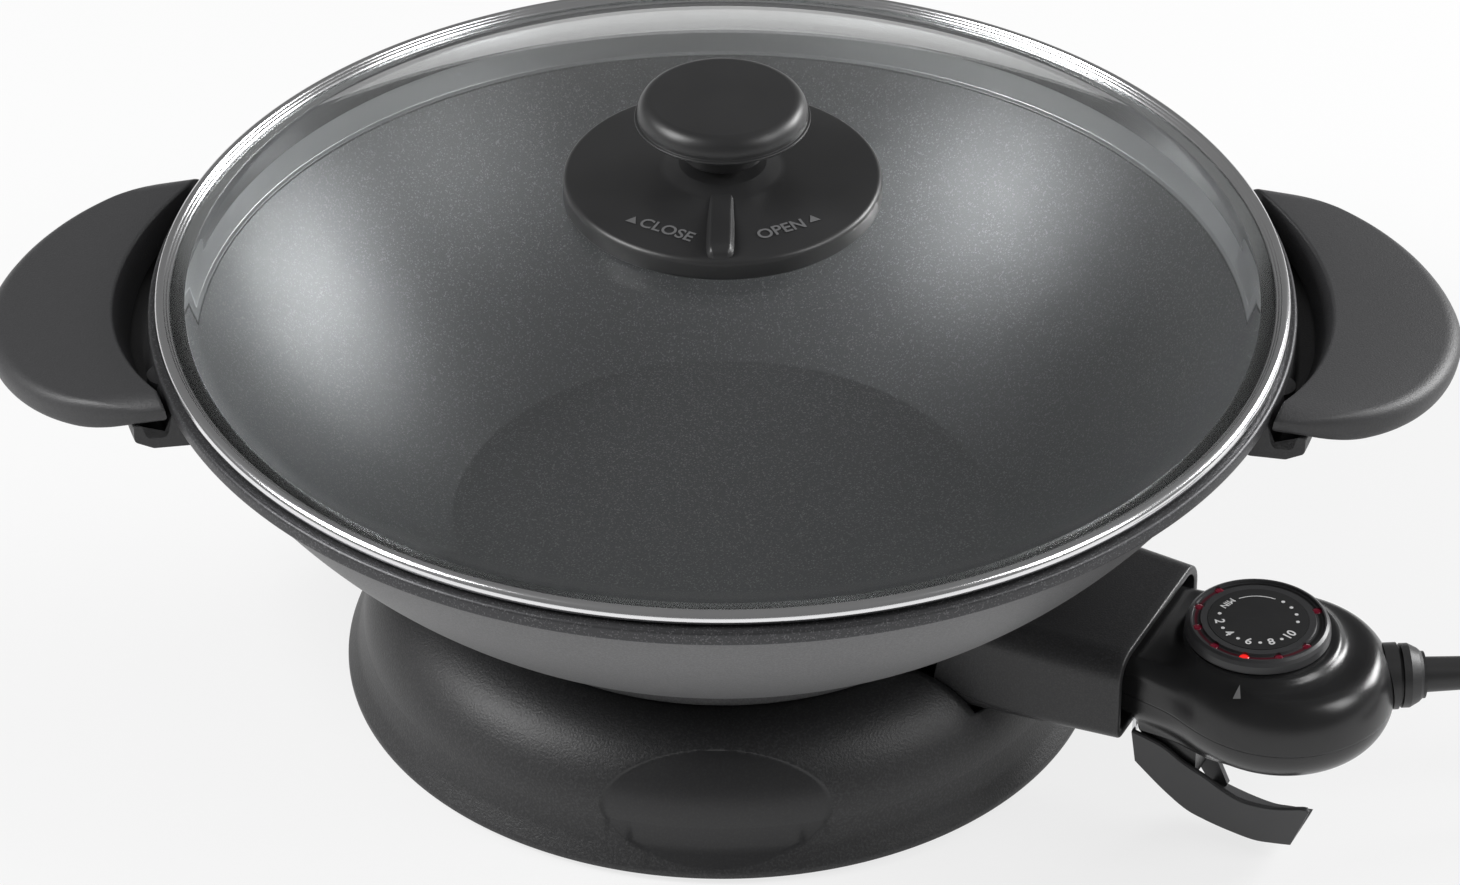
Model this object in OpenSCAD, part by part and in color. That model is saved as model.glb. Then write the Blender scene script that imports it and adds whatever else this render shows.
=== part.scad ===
// Electric wok with a lift-off glass lid, a free-standing base and a plug-in thermostat control.
// Millimetres, Z up. The origin is the wok's axis on the table. +X is to the right and the front
// faces -Y. The control plugs in at control_az degrees from +X.

/* [Wok] */
// Outer radius of the cast rim
rim_r = 180; // [172:1:186]
// Height of the rim's top above the table
rim_top = 141; // [136:1:148]
// Height of the rim's outer face
rim_face = 5; // [4:0.5:7]
// Thickness of the cast wall
bowl_wall = 3.5; // [2.5:0.25:4.5]
// Thickness of the flat bottom over the element
bowl_floor = 4; // [3:0.5:6]
// Height of the plain band inside the rim
band_h = 16; // [12:1:20]
// Outer radius of the foot ring
foot_r = 90; // [84:1:94]
// Height of the foot ring inside, up to the flat bottom
foot_h = 5; // [4:0.5:6]
// Height of the foot ring outside, up to the spherical wall
foot_lip = 7.2; // [6:0.2:9]

/* [Base] */
// Outer radius of the base on the table
base_r = 122; // [116:1:130]
// Width of the flare at the hem, outside the dome
base_flare = 5.5; // [3:0.5:8]
// Height at which the dome begins
base_dome_z = 17; // [12:1:22]
// Height of the seat that carries the wok
base_h = 45; // [40:1:50]
// Thickness of the moulded base
base_wall = 3; // [2:0.5:4]
// Height of the skirt's lower edge, the height of the feet that shows
feet_show = 1.5; // [1:0.5:3]
// Width of the oval panel on the front
oval_w = 73; // [50:1:84]
// Height of the oval panel on the front
oval_h = 35; // [20:1:38]

/* [Lid] */
// Gap between the lid's edge and the rim's outer edge
lid_inset = 2; // [1:0.5:4]
// Radial width of the steel band
lid_band_w = 12; // [10:0.5:14]
// Height of the glass dome above the steel band's underside
dome_h = 38.3; // [34:0.1:46]
// Thickness of the glass
glass_t = 4; // [3:0.5:5]
// Radius of the steam vent disc
vent_r = 49.6; // [42:0.2:56]
// Height of the vent disc at its edge
vent_h = 7; // [5:0.5:9]
// Radius of the knob
knob_r = 26.8; // [22:0.1:30]
// Height of the knob above the vent disc
knob_h = 22.5; // [20:0.5:30]

/* [Handles] */
// Reach of a handle beyond the rim
handle_reach = 54.5; // [48:0.5:60]
// Half the width of a handle at the wok
handle_half_w = 69; // [58:1:74]
// Thickness of a handle's plate
handle_t = 10; // [8:0.5:12]
// Distance of a handle's top below the rim's top, at the wok
handle_drop = 2.5; // [1.5:0.5:4]
// Slope of a handle's plate, down towards its tip, in degrees
handle_droop = 10; // [0:1:12]

/* [Control socket] */
// Direction of the control, in degrees from +X
control_az = -25; // [-34:1:-20]
// Width of the socket at its mouth
socket_w = 64; // [60:1:68]
// Height of the socket at its mouth
socket_h = 31; // [29:0.5:33]
// Thickness of the socket
socket_wall = 3; // [2:0.5:4]
// Distance from the foot ring to the socket's mouth
socket_reach = 62; // [58:1:66]
// Height of the socket's axis
socket_z = 50; // [49:0.5:52]
// Distance between the two terminal pins
pin_pitch = 20; // [16:1:24]
// Radius of a terminal pin
pin_r = 2.4; // [2:0.1:3]

/* [Control] */
// Radius of the round control housing
bulb_r = 35.5; // [34:0.5:38]
// Distance from the socket's mouth to the housing's axis
bulb_reach = 41.5; // [40:0.5:45]
// Height of the housing's underside
bulb_bottom = 33.5; // [32:0.5:35]
// Height of the seam between the housing's halves
seam_z = 48.5; // [47:0.5:51]
// Height of the housing's top
bulb_top = 65; // [62:1:68]
// Radius of the dial
dial_r = 22.8; // [22:0.2:23.6]
// Height of the dial
dial_h = 5; // [4:0.5:7]
// Radius of the dial's face
dial_face_r = 15.8; // [15:0.2:16.4]
// Number of lamp windows along the dial's numbers
windows = 7; // [4:1:8]
// Radius of the release lever's pin
lever_pin_r = 1.5; // [1:0.1:2]
// Width of the lever across its finger pad
lever_w = 18; // [14:1:20]
// Thickness of the lever's wall
lever_t = 2; // [1.5:0.25:3]
// Diameter of the mains cord
cord_d = 8; // [6:0.5:9]

/* [Fits] */
// Running clearance between a pin and its hole
run_gap = 0.05; // [0.02:0.01:0.09]
// Gap between pieces that lift or slide apart
seat_gap = 0.3; // [0.3:0.05:0.6]

/* [Hidden] */
$fn = 96;

eps = 0.01;

// Bowl: a spherical wall that ends in a flat bottom and stands on a foot ring.
foot_bottom = base_h + seat_gap;
bowl_bottom = foot_bottom + foot_h;
rim_under = rim_top - rim_face;
wall_r_at_rim = rim_r - 4.6;
foot_meets = foot_bottom + foot_lip;
bowl_cz = (pow(wall_r_at_rim, 2) - pow(foot_r, 2) + pow(rim_under, 2) - pow(foot_meets, 2))
          / (2 * (rim_under - foot_meets));
bowl_r = sqrt(pow(foot_r, 2) + pow(bowl_cz - foot_meets, 2));
bowl_in_r = bowl_r - bowl_wall;
floor_z = bowl_bottom + bowl_floor;
step_z = rim_top - band_h;
step_w = 1.2;
step_r = sqrt(pow(bowl_in_r, 2) - pow(bowl_cz - step_z, 2)) + step_w;
arc_steps = 24;
band_top_r = rim_r - 9;
foot_w = 6;

// Radius of the plain band inside the rim at the height z
function band_r(z) = step_r + (band_top_r - step_r) * (z - step_z) / band_h;

// Base
base_dome_r = base_r - base_flare;
dome_top_r = foot_r - 1;
seat_inner_r = foot_r - 10;
register_r = foot_r - foot_w - 0.5;
cover_z = feet_show + 1.5;
cover_t = 2;
cover_top = cover_z + cover_t;
cover_r = base_dome_r - base_wall - seat_gap;
foot_pad_r = 9;
foot_pad_at = cover_r - 14;
boss_at = seat_inner_r - 8;
boss_r = 5;
reflector_z = base_h - 8;
reflector_t = 0.8;
dish_depth = 6;
dish_rim_r = boss_at - 8;
dish_flat_r = dish_rim_r - 9;
dish_hole_r = 20;
screw_r = 1.8;

// Lid
lid_r = rim_r - lid_inset;
lid_z = rim_top + seat_gap;
glass_r = lid_r - 8.5;
glass_top = lid_z + dome_h;
dome_edge_z = lid_z + 3.7;
dome_R = (pow(glass_r, 2) + pow(glass_top - dome_edge_z, 2)) / (2 * (glass_top - dome_edge_z));
dome_cz = glass_top - dome_R;
dome_in_R = dome_R - glass_t;
skirt_top = lid_z - 1.4;
skirt_low = lid_z - 8;
skirt_gap = 0.45;
skirt_t = 1;
function glass_z(r) = dome_cz + sqrt(pow(dome_R, 2) - pow(r, 2));
function glass_under(r) = dome_cz + sqrt(pow(dome_in_R, 2) - pow(r, 2));
vent_z = glass_z(vent_r) + 0.5;
vent_edge_z = vent_z + vent_h;
vent_top = vent_edge_z + 4.5;
seal_top = glass_top + 1.4;
bush_r = 6;
knob_z = vent_top + 3.2;
knob_top = vent_edge_z + 6 + knob_h;
knob_seam = knob_top - 7.4;
stem_r = 12.8;
vent_port_at = 30;
vent_port_az = -50;

// Handles
handle_tip = rim_r + handle_reach;
handle_top = rim_top - handle_drop;
handle_low = handle_top - handle_t;
handle_root = rim_r - 15;
handle_gap_r = rim_r + 8;
scoop_r = 101;
scoop_x = rim_r - 87;
bracket_low = rim_under - 15;
handle_screw_at = rim_r - 4;
handle_screw_az = 12;

// Socket and control, in a frame turned by control_az
socket_root = foot_r;
socket_x = socket_root + socket_reach;
mouth_low = socket_z - socket_h / 2;
hollow_w = socket_w - 2 * socket_wall;
hollow_h = socket_h - 2 * socket_wall;
socket_low = mouth_low - 1.5;
mouth_depth = 34;
element_r = 66;
element_tube = 3.8;
element_z = bowl_bottom - element_tube;
block_x = socket_x - mouth_depth;
socket_screw_x = socket_root + 22;
seam_rise = 8;
under_l = 36;
block_l = 7;
pin_out = 24;

neck_w = hollow_w - 10;
neck_h = hollow_h - 3;
chin_z = mouth_low - 1.4;
bulb_x = socket_x + bulb_reach;
belly_r = 15;
shoulder_r = 9;
bezel_x = socket_x + 34;
bezel_h = 2;
bezel_r = dial_r + 1.2;
dial_x = bezel_x - 1.4;
dial_z = bulb_top + bezel_h + seat_gap;
dial_top = dial_z + dial_h;
spindle_r = 3;
window_at = (dial_r + dial_face_r) / 2;
window_az = concat([for (i = [0:windows - 1]) 126 + i * 192 / (windows - 1)], [17]);
lamp_z = bulb_top + bezel_h - 2.5;
sensor_r = 3;
sensor_z = socket_z + 4;
boss_w = 11;

lever_y = -22;
lever_x = socket_x + 0.8;
lever_top = mouth_low - 2.5;
pivot_x = lever_x + 17;
pivot_z = chin_z - 11;
ear_r = 4;
lug_gap = 0.3;

collar_az = 5;
collar_z = seam_z + 3;
collar_from = bulb_r - 4;
collar_to = bulb_r + 5;
collar_r = 10.5;
relief_from = collar_to + 4;
relief_l = 36;
relief_r = 5.6;

// Cord: the route's points, the coil's loops and the plug
cord_r = cord_d / 2;
lead_dir = [cos(collar_az), sin(collar_az), 0];
lead_start = [bulb_x * cos(control_az), bulb_x * sin(control_az), collar_z]
             + (relief_from + relief_l) * lead_dir;
lead_drop = cord_r - collar_z;
lead_route = [[0, 0, 0], cord_d * lead_dir, [32, 4, -5], [56, 11, -20], [79, 20, -35], [100, 30, -43],
              [119, 37, lead_drop], [136, 40, lead_drop], [146, 40, lead_drop]];
coil_pitch = cord_d + 0.8;
coil_lift = cord_d + 0.6;
coil_out_r = 54;
loops_in = 1.5;
loops_out = 2;
loop_rings = 24;
plug_r = 18;
tail_drop = -coil_lift;
tail_route = [[0, 0, 0], [8, 0, 0], [24, 1, -2.5], [42, 3, -5], [60, 4, -3], [78, 4, 3.4],
              [93, 4, plug_r - cord_r + tail_drop], [102, 4, plug_r - cord_r + tail_drop]];
plug_neck = 16;
plug_l = 30;
plug_pin_pitch = 19;
plug_pin_r = 2.4;
plug_pin_l = 19;
plug_pin_in = 12;
plug_core_r = plug_pin_r - 0.6;

// ---------------------------------------------------------------- shared shapes

// A ring from r1 to r2, z1 to z2
module ring(r1, r2, z1, z2) {
    rotate_extrude()
        translate([r1, z1]) square([r2 - r1, z2 - z1]);
}

// A rounded rectangle in Y and Z, len thick along +X, centred on y = 0 and z, with its own radius on top
module slab(x, w, h, z, r, len = 1, top = 0) {
    translate([x, 0, z]) rotate([90, 0, 90])
        linear_extrude(len) rounded(w, h, r, max(r, top));
}

module rounded(w, h, r, top) {
    hull()
        for (sx = [-1, 1]) {
            translate([sx * (w / 2 - r), r - h / 2]) circle(r, $fn = 32);
            translate([sx * (w / 2 - top), h / 2 - top]) circle(top, $fn = 32);
        }
}

// Everything in this frame has +X along the control's axis
module control_frame() {
    rotate([0, 0, control_az]) children();
}

// A screw that points up from z, with a pan head below it
module screw_up(z, len, head_r, head_h) {
    translate([0, 0, z - head_h]) cylinder(r = head_r, h = head_h);
    translate([0, 0, z - eps]) cylinder(r = screw_r, h = len + eps);
}

// ---------------------------------------------------------------- base

// Direction of one of the three screws, all clear of the socket's notch
function boss_az(i) = control_az + 60 + i * 120;

function dome_profile(inset) = [for (i = [0:12]) let (t = i * 90 / 12)
    [dome_top_r + (base_dome_r - dome_top_r - inset) * cos(t),
     base_dome_z + (base_h - base_dome_z - inset) * sin(t)]];

// Outline of the base's outer skin: a flared hem, then a quarter ellipse up to the seat
module base_outline(inset) {
    polygon(concat(
        [[0, 0], [base_r - inset, 0], [base_r - inset, 4],
         [base_dome_r + 2 - inset, 10]],
        dome_profile(inset),
        [[0, base_h - inset]]));
}

module base_oval() {
    translate([0, -base_dome_r + 30, base_h / 2]) rotate([90, 0, 0])
        linear_extrude(60)
            polygon([for (i = [0:47]) [oval_w / 2 * cos(i * 7.5), oval_h / 2 * sin(i * 7.5)]]);
}

// The wok lifts straight up, so the notches for its socket and its element's ends are open at the top
module socket_notch() {
    tall = 2 * base_h;
    control_frame() {
        hull() {
            slab(socket_root - 0.6, socket_w + 9.2, tall, socket_low - 0.6 + tall / 2, 3, 1);
            slab(socket_x, socket_w + 1.2, tall, mouth_low - 0.6 + tall / 2, 3, 1);
        }
        translate([register_r - 6, -pin_pitch / 2 - 6, element_z - element_tube - 0.6])
            cube([30, pin_pitch + 12, base_h]);
    }
}

module base_skirt() {
    color([0.13, 0.13, 0.14]) {
        difference() {
            rotate_extrude() difference() {
                base_outline(0);
                base_outline(base_wall);
                translate([-1, -1]) square([base_r + 2, feet_show + 1]);
                square([seat_inner_r, base_h + 1]);
            }
            difference() {
                base_oval();
                rotate_extrude() base_outline(0.8);
            }
            socket_notch();
        }
        difference() {
            ring(seat_inner_r, register_r, base_h - base_wall, base_h + 1.6);
            socket_notch();
        }
        for (i = [0:2]) rotate([0, 0, boss_az(i)]) translate([boss_at, 0, 0]) difference() {
            union() {
                translate([0, 0, cover_top]) cylinder(r = boss_r, h = reflector_z - cover_top);
                translate([0, -1.5, cover_top + 8])
                    cube([seat_inner_r + 4 - boss_at, 3, reflector_z - cover_top - 8]);
                translate([seat_inner_r - boss_at, -1.5, reflector_z - eps])
                    cube([4, 3, base_h - base_wall - reflector_z + 1]);
            }
            translate([0, 0, cover_z]) cylinder(r = screw_r, h = 16);
        }
    }
}

module base_cover() {
    color([0.16, 0.16, 0.17])
        difference() {
            union() {
                translate([0, 0, cover_z]) cylinder(r = cover_r, h = cover_t);
                ring(cover_r - 2, cover_r, cover_z, cover_z + 9);
            }
            for (i = [0:2]) rotate([0, 0, boss_az(i)]) translate([boss_at, 0, cover_z - 1])
                cylinder(r = screw_r + 0.3, h = cover_t + 2);
            for (i = [0:11]) rotate([0, 0, i * 30 + 15]) translate([28, -1.5, cover_z - 1])
                cube([22, 3, cover_t + 2]);
        }
}

module base_screw(i) {
    color([0.7, 0.7, 0.72])
        rotate([0, 0, boss_az(i)]) translate([boss_at, 0, 0])
            screw_up(cover_z, 12, 3.4, 1.4);
}

module base_foot(i) {
    color([0.07, 0.07, 0.07])
        rotate([0, 0, 45 + i * 90]) translate([foot_pad_at, 0, 0])
            rotate_extrude()
                polygon([[0, 0], [foot_pad_r - 1, 0], [foot_pad_r, 1], [foot_pad_r, cover_z], [0, cover_z]]);
}

// A dished sheet that keeps the element's heat off the plastic
module heat_reflector() {
    color([0.8, 0.8, 0.82])
        rotate_extrude()
            polygon([[dish_hole_r, reflector_z - dish_depth], [dish_flat_r, reflector_z - dish_depth],
                     [dish_rim_r, reflector_z], [boss_at + boss_r, reflector_z],
                     [boss_at + boss_r, reflector_z + reflector_t],
                     [dish_rim_r - 0.3, reflector_z + reflector_t],
                     [dish_flat_r - 0.3, reflector_z - dish_depth + reflector_t],
                     [dish_hole_r, reflector_z - dish_depth + reflector_t]]);
}

// ---------------------------------------------------------------- wok

module bowl_solid(r) {
    translate([0, 0, bowl_cz]) sphere(r = r, $fn = 160);
}

module element_notch() {
    control_frame()
        translate([foot_r - foot_w - 6, -pin_pitch / 2 - 6, foot_bottom - 1])
            cube([foot_w + 8, pin_pitch + 12, foot_h + 1]);
}

// Points on a circle of radius r about the bowl's centre, between the heights z1 and z2
function bowl_arc(r, z1, z2) = let (a1 = acos((bowl_cz - z1) / r), a2 = acos((bowl_cz - z2) / r))
    [for (i = [0:arc_steps]) let (a = a1 + (a2 - a1) * i / arc_steps) [r * sin(a), bowl_cz - r * cos(a)]];

module wok_bowl() {
    color([0.42, 0.42, 0.43])
        difference() {
            union() {
                rotate_extrude() polygon(concat(
                    [[0, bowl_bottom], [foot_r - foot_w, bowl_bottom], [foot_r - foot_w, foot_bottom],
                     [foot_r, foot_bottom]],
                    bowl_arc(bowl_r, foot_meets, rim_under),
                    [[rim_r - 1, rim_under], [rim_r, rim_under + 1], [rim_r, rim_top - 1.2],
                     [rim_r - 1.2, rim_top], [band_top_r, rim_top], [step_r, step_z + 0.4]],
                    bowl_arc(bowl_in_r, step_z, floor_z),
                    [[0, floor_z]]));
                control_frame() slab(foot_r - 3, boss_w, 11, sensor_z, 3, block_x - foot_r + 2);
            }
            element_notch();
            for (side = [0, 180], s = [-1, 1]) rotate([0, 0, side + s * handle_screw_az])
                translate([handle_screw_at, 0, rim_under - 3]) cylinder(r = screw_r + run_gap, h = 6.5);
        }
}

module heating_element() {
    color([0.55, 0.54, 0.52]) {
        rotate([0, 0, control_az + 9]) rotate_extrude(angle = 342)
            translate([element_r, element_z]) circle(element_tube);
        control_frame() for (s = [-1, 1])
            translate([element_r - 1, s * pin_pitch / 2, element_z]) rotate([0, 90, 0])
                cylinder(r = element_tube, h = block_x - element_r + 1);
    }
}

module terminal_pin(s) {
    color([0.78, 0.76, 0.7])
        control_frame() translate([block_x, s * pin_pitch / 2, element_z]) rotate([0, 90, 0])
            cylinder(r = pin_r, h = block_l + pin_out);
}

module terminal_block() {
    color([0.75, 0.72, 0.66])
        control_frame() difference() {
            slab(block_x, hollow_w - 4, hollow_h, socket_z, 3, block_l, 4);
            for (s = [-1, 1]) translate([block_x - 1, s * pin_pitch / 2, element_z]) rotate([0, 90, 0])
                cylinder(r = pin_r, h = block_l + 2);
            translate([block_x - 1, 0, sensor_z]) rotate([0, 90, 0])
                cylinder(r = sensor_r + 1, h = block_l + 2);
        }
}

// The socket: a rounded tube that grows wider towards the wok and is cut to the bowl's wall
module socket_tube() {
    difference() {
        hull() {
            slab(socket_x - 1, socket_w, socket_h, socket_z, 5, 1, 9);
            slab(socket_root, socket_w + 8, 2 * (socket_z - socket_low), socket_z, 5, 1, 9);
        }
        slab(block_x, hollow_w, hollow_h, socket_z, 3, mouth_depth + 1, 5);
        translate([socket_root - 1, -pin_pitch / 2 - 6, element_z - element_tube - 0.5])
            cube([block_x - socket_root + 2, pin_pitch + 12, 21]);
        rotate([0, 0, -control_az]) {
            bowl_solid(bowl_r + 0.2);
            cylinder(r = foot_r + seat_gap, h = base_h + foot_h + 3);
        }
    }
}

// Everything under the slanting seam of the socket
module under_seam() {
    translate([0, socket_w, 0]) rotate([90, 0, 0]) linear_extrude(2 * socket_w)
        polygon([[socket_root - 5, mouth_low + seam_rise], [socket_root + under_l, mouth_low + 0.2],
                 [socket_root + under_l, socket_low - seam_rise], [socket_root - 5, socket_low - seam_rise]]);
}

module socket_upper() {
    color([0.11, 0.11, 0.12])
        control_frame() difference() {
            socket_tube();
            under_seam();
            translate([socket_screw_x, 0, mouth_low]) cylinder(r = screw_r + run_gap, h = 6.5);
        }
}

module socket_lower() {
    color([0.12, 0.12, 0.13])
        control_frame() difference() {
            intersection() {
                socket_tube();
                under_seam();
            }
            translate([socket_screw_x, 0, mouth_low - 5]) {
                cylinder(r = screw_r + 0.2, h = 12);
                cylinder(r = 3.5, h = 5.8);
            }
        }
}

module socket_screw() {
    color([0.7, 0.7, 0.72])
        control_frame() translate([socket_screw_x, 0, 0]) screw_up(mouth_low + 0.8, 5.4, 3.2, 1.6);
}

// ---------------------------------------------------------------- handles

// Half the width of a handle at fraction t of the way from its root to its tip
function ear(t) = pow(1 - pow(t, 1.7), 0.6);

function ear_outline(inset) = let (len = handle_tip - handle_root - inset, half = handle_half_w - inset)
    concat([for (i = [0:20]) let (t = 1 - pow(1 - i / 20, 2)) [handle_root + len * t, half * ear(t)]],
           [for (i = [19:-1:0]) let (t = 1 - pow(1 - i / 20, 2)) [handle_root + len * t, -half * ear(t)]]);

module ear_slice(z, inset) {
    translate([0, 0, z]) linear_extrude(0.02) polygon(ear_outline(inset));
}

// One handle on +X: a plate with soft edges, a thumb scoop and a bracket under the rim
module handle() {
    difference() {
        union() {
            difference() {
                translate([handle_gap_r, 0, handle_top]) rotate([0, handle_droop, 0])
                    translate([-handle_gap_r, 0, -handle_top]) hull() {
                        ear_slice(handle_low, 2);
                        ear_slice(handle_low + 1.5, 0.4);
                        ear_slice(handle_low + 4, 0);
                        ear_slice(handle_top - 3, 0.8);
                        ear_slice(handle_top - 1, 2.4);
                        ear_slice(handle_top - 0.02, 5.5);
                    }
                translate([scoop_x, 0, handle_low + 1])
                    cylinder(r1 = scoop_r - 9, r2 = scoop_r + 1, h = handle_t + eps);
                translate([0, 0, handle_low - 1]) cylinder(r = handle_gap_r, h = handle_t + 2);
            }
            rotate([0, 0, -20]) rotate_extrude(angle = 40)
                polygon([[handle_root, bracket_low + 5], [handle_root + 8, bracket_low],
                         [handle_gap_r - 3, handle_low - 4], [handle_gap_r + 2, handle_low - 1],
                         [handle_gap_r + 2, handle_low + 3], [handle_gap_r - 3, handle_low + 2],
                         [rim_r - 2, rim_under - 1.2], [rim_r - 9, rim_under - 1.2],
                         [rim_r - 9, rim_under]]);
            for (s = [-1, 1]) rotate([0, 0, s * handle_screw_az])
                translate([handle_screw_at, 0, bracket_low - 1]) cylinder(r = 6, h = 12);
        }
        bowl_solid(bowl_r + 0.05);
        translate([0, 0, rim_under - eps]) cylinder(r = rim_r + 2, h = rim_face + 10);
        for (s = [-1, 1]) rotate([0, 0, s * handle_screw_az]) translate([handle_screw_at, 0, bracket_low - 2])
            cylinder(r = screw_r + 0.1, h = 20);
    }
}

module handle_left() {
    color([0.33, 0.33, 0.34]) rotate([0, 0, 180]) handle();
}

module handle_right() {
    color([0.33, 0.33, 0.34]) handle();
}

module handle_screw(side, s) {
    color([0.7, 0.7, 0.72])
        rotate([0, 0, side + s * handle_screw_az]) translate([handle_screw_at, 0, 0])
            screw_up(bracket_low - 1, rim_under + 3 - bracket_low, 3.6, 2);
}

// ---------------------------------------------------------------- lid

module dome_solid(r) {
    translate([0, 0, dome_cz]) sphere(r = r, $fn = 200);
}

module lid_glass() {
    color([0.85, 0.9, 0.9, 0.35])
        difference() {
            intersection() {
                dome_solid(dome_R);
                translate([0, 0, lid_z - 4]) cylinder(r = glass_r, h = dome_h + 6);
            }
            dome_solid(dome_in_R);
            translate([0, 0, lid_z]) cylinder(r = bush_r, h = dome_h + 6);
            rotate([0, 0, vent_port_az]) translate([vent_port_at, 0, lid_z]) cylinder(r = 4, h = dome_h + 6);
        }
}

// The steel band holds the glass by its edge, rolls over outside and drops a skirt inside the rim
module lid_band() {
    inner = lid_r - lid_band_w;
    lip_z = glass_under(inner + 1.5);
    color([0.82, 0.82, 0.84])
        rotate_extrude()
            polygon([[band_top_r - 0.6, lid_z], [lid_r - 0.8, lid_z], [lid_r, lid_z + 0.8],
                     [lid_r, lid_z + 3], [lid_r - 0.7, lid_z + 4.2], [lid_r - 2, lid_z + 4.8], [glass_r + 1, lid_z + 5.2],
                     [inner, glass_z(inner) + 1.1], [inner - 0.3, glass_z(inner) + 0.5],
                     [inner, glass_z(inner) + 0.05],
                     [glass_r + 0.05, glass_z(glass_r) + 0.1], [glass_r + 0.05, glass_under(glass_r) - 0.1],
                     [inner + 1.5, lip_z - 0.05], [inner + 1.5, lip_z - 1.6],
                     [band_r(skirt_top) - skirt_gap - skirt_t, skirt_top - skirt_t],
                     [band_r(skirt_low) - skirt_gap - skirt_t, skirt_low],
                     [band_r(skirt_low) - skirt_gap, skirt_low], [band_r(skirt_top) - skirt_gap, skirt_top]]);
}

module vent_seal() {
    radii = [bush_r + 0.1, vent_r * 0.35, vent_r * 0.65, vent_r - 5];
    color([0.35, 0.35, 0.36])
        difference() {
            rotate_extrude()
                polygon(concat([for (r = radii) [r, glass_z(r) + 0.12]],
                               [[vent_r - 5, seal_top], [bush_r + 0.1, seal_top]]));
            rotate([0, 0, vent_port_az]) translate([vent_port_at, 0, lid_z]) cylinder(r = 5, h = dome_h + 6);
        }
}

// The sleeve that the vent disc turns on and the knob stands on
module vent_bush() {
    color([0.72, 0.7, 0.66])
        difference() {
            translate([0, 0, glass_under(bush_r)]) cylinder(r = bush_r, h = knob_z - glass_under(bush_r));
            translate([0, 0, glass_under(bush_r) - 1]) cylinder(r = screw_r + 0.2, h = dome_h);
        }
}

// The disc turns under the knob. The channel under its rib lets steam out when it lies over the port.
module vent_disc() {
    rib_w = 8.6;
    color([0.16, 0.16, 0.17])
        difference() {
            union() {
                rotate_extrude()
                    polygon([[0, seal_top + seat_gap], [vent_r - 3, seal_top + seat_gap],
                             [vent_r - 3, vent_z + 1],
                             [vent_r - 2.4, vent_z], [vent_r - 0.6, vent_z], [vent_r, vent_z + 0.8],
                             [vent_r, vent_edge_z - 1.8], [vent_r - 0.6, vent_edge_z - 0.6],
                             [vent_r - 2, vent_edge_z], [stem_r + 5.2, vent_edge_z + 2.6],
                             [stem_r + 2.2, vent_edge_z + 3.4], [stem_r + 0.8, vent_top], [0, vent_top]]);
                intersection() {
                    rotate([0, 0, -90]) translate([10, 0, 0]) hull() {
                        translate([0, -rib_w / 2, vent_edge_z - 2]) cube([vent_r - 11, rib_w, 3.2]);
                        translate([0, -rib_w / 2 + 1, vent_edge_z - 2]) cube([vent_r - 12, rib_w - 2, 5.6]);
                    }
                    cylinder(r = vent_r - 1, h = 2 * glass_top);
                }
            }
            translate([0, 0, lid_z]) cylinder(r = bush_r + run_gap, h = 2 * dome_h);
            rotate([0, 0, -90]) translate([vent_port_at - 5, -2.5, vent_z - 1])
                cube([vent_r - vent_port_at + 6, 5, seal_top - vent_z + 3]);
        }
}

// Lower half of the knob, from its narrow stem out to the parting ridge
module lid_knob() {
    color([0.15, 0.15, 0.16])
        difference() {
            rotate_extrude()
                polygon(concat(
                    [[0, knob_z], [stem_r, knob_z]],
                    [for (i = [0:8]) let (t = i * 90 / 8)
                        [knob_r - 1 - (knob_r - stem_r - 1.2) * cos(t),
                         knob_z + 3 + (knob_seam - knob_z - 4) * sin(t)]],
                    [[knob_r + 0.4, knob_seam - 0.8], [knob_r + 0.4, knob_seam], [0, knob_seam]]));
            translate([0, 0, knob_z - 1]) cylinder(r = screw_r, h = 12);
        }
}

module knob_cap() {
    flat_r = knob_r - 4.8;
    edge_r = knob_r - 0.4;
    color([0.2, 0.2, 0.21])
        rotate_extrude()
            polygon(concat(
                [[0, knob_seam], [edge_r, knob_seam]],
                [for (i = [0:8]) let (t = i * 90 / 8)
                    [flat_r + (edge_r - flat_r) * cos(t),
                     knob_seam + 1 + (knob_top - knob_seam - 1.6) * sin(t)]],
                [[0, knob_top]]));
}

module knob_washer() {
    color([0.75, 0.75, 0.77])
        difference() {
            translate([0, 0, glass_under(9) - 1.5]) cylinder(r = 9, h = 1.5);
            translate([0, 0, glass_under(9) - 2]) cylinder(r = screw_r + 0.2, h = 3);
        }
}

module knob_screw() {
    color([0.75, 0.75, 0.77]) screw_up(glass_under(9) - 1.5, knob_z + 9 - glass_under(9), 4.5, 2.6);
}

// ---------------------------------------------------------------- control

// The round part of the control's housing
module bulb_solid() {
    translate([bulb_x, 0, 0]) rotate_extrude()
        polygon(concat(
            [[0, bulb_bottom], [bulb_r - belly_r, bulb_bottom]],
            [for (i = [1:9]) let (t = i * 10)
                [bulb_r - belly_r + belly_r * sin(t), seam_z - (seam_z - bulb_bottom) * cos(t)]],
            [for (i = [1:8]) let (t = i * 10)
                [bulb_r - shoulder_r + shoulder_r * cos(t), seam_z + (bulb_top - seam_z - 1) * sin(t)]],
            [[bezel_r - 4, bulb_top], [0, bulb_top]]));
}

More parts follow.
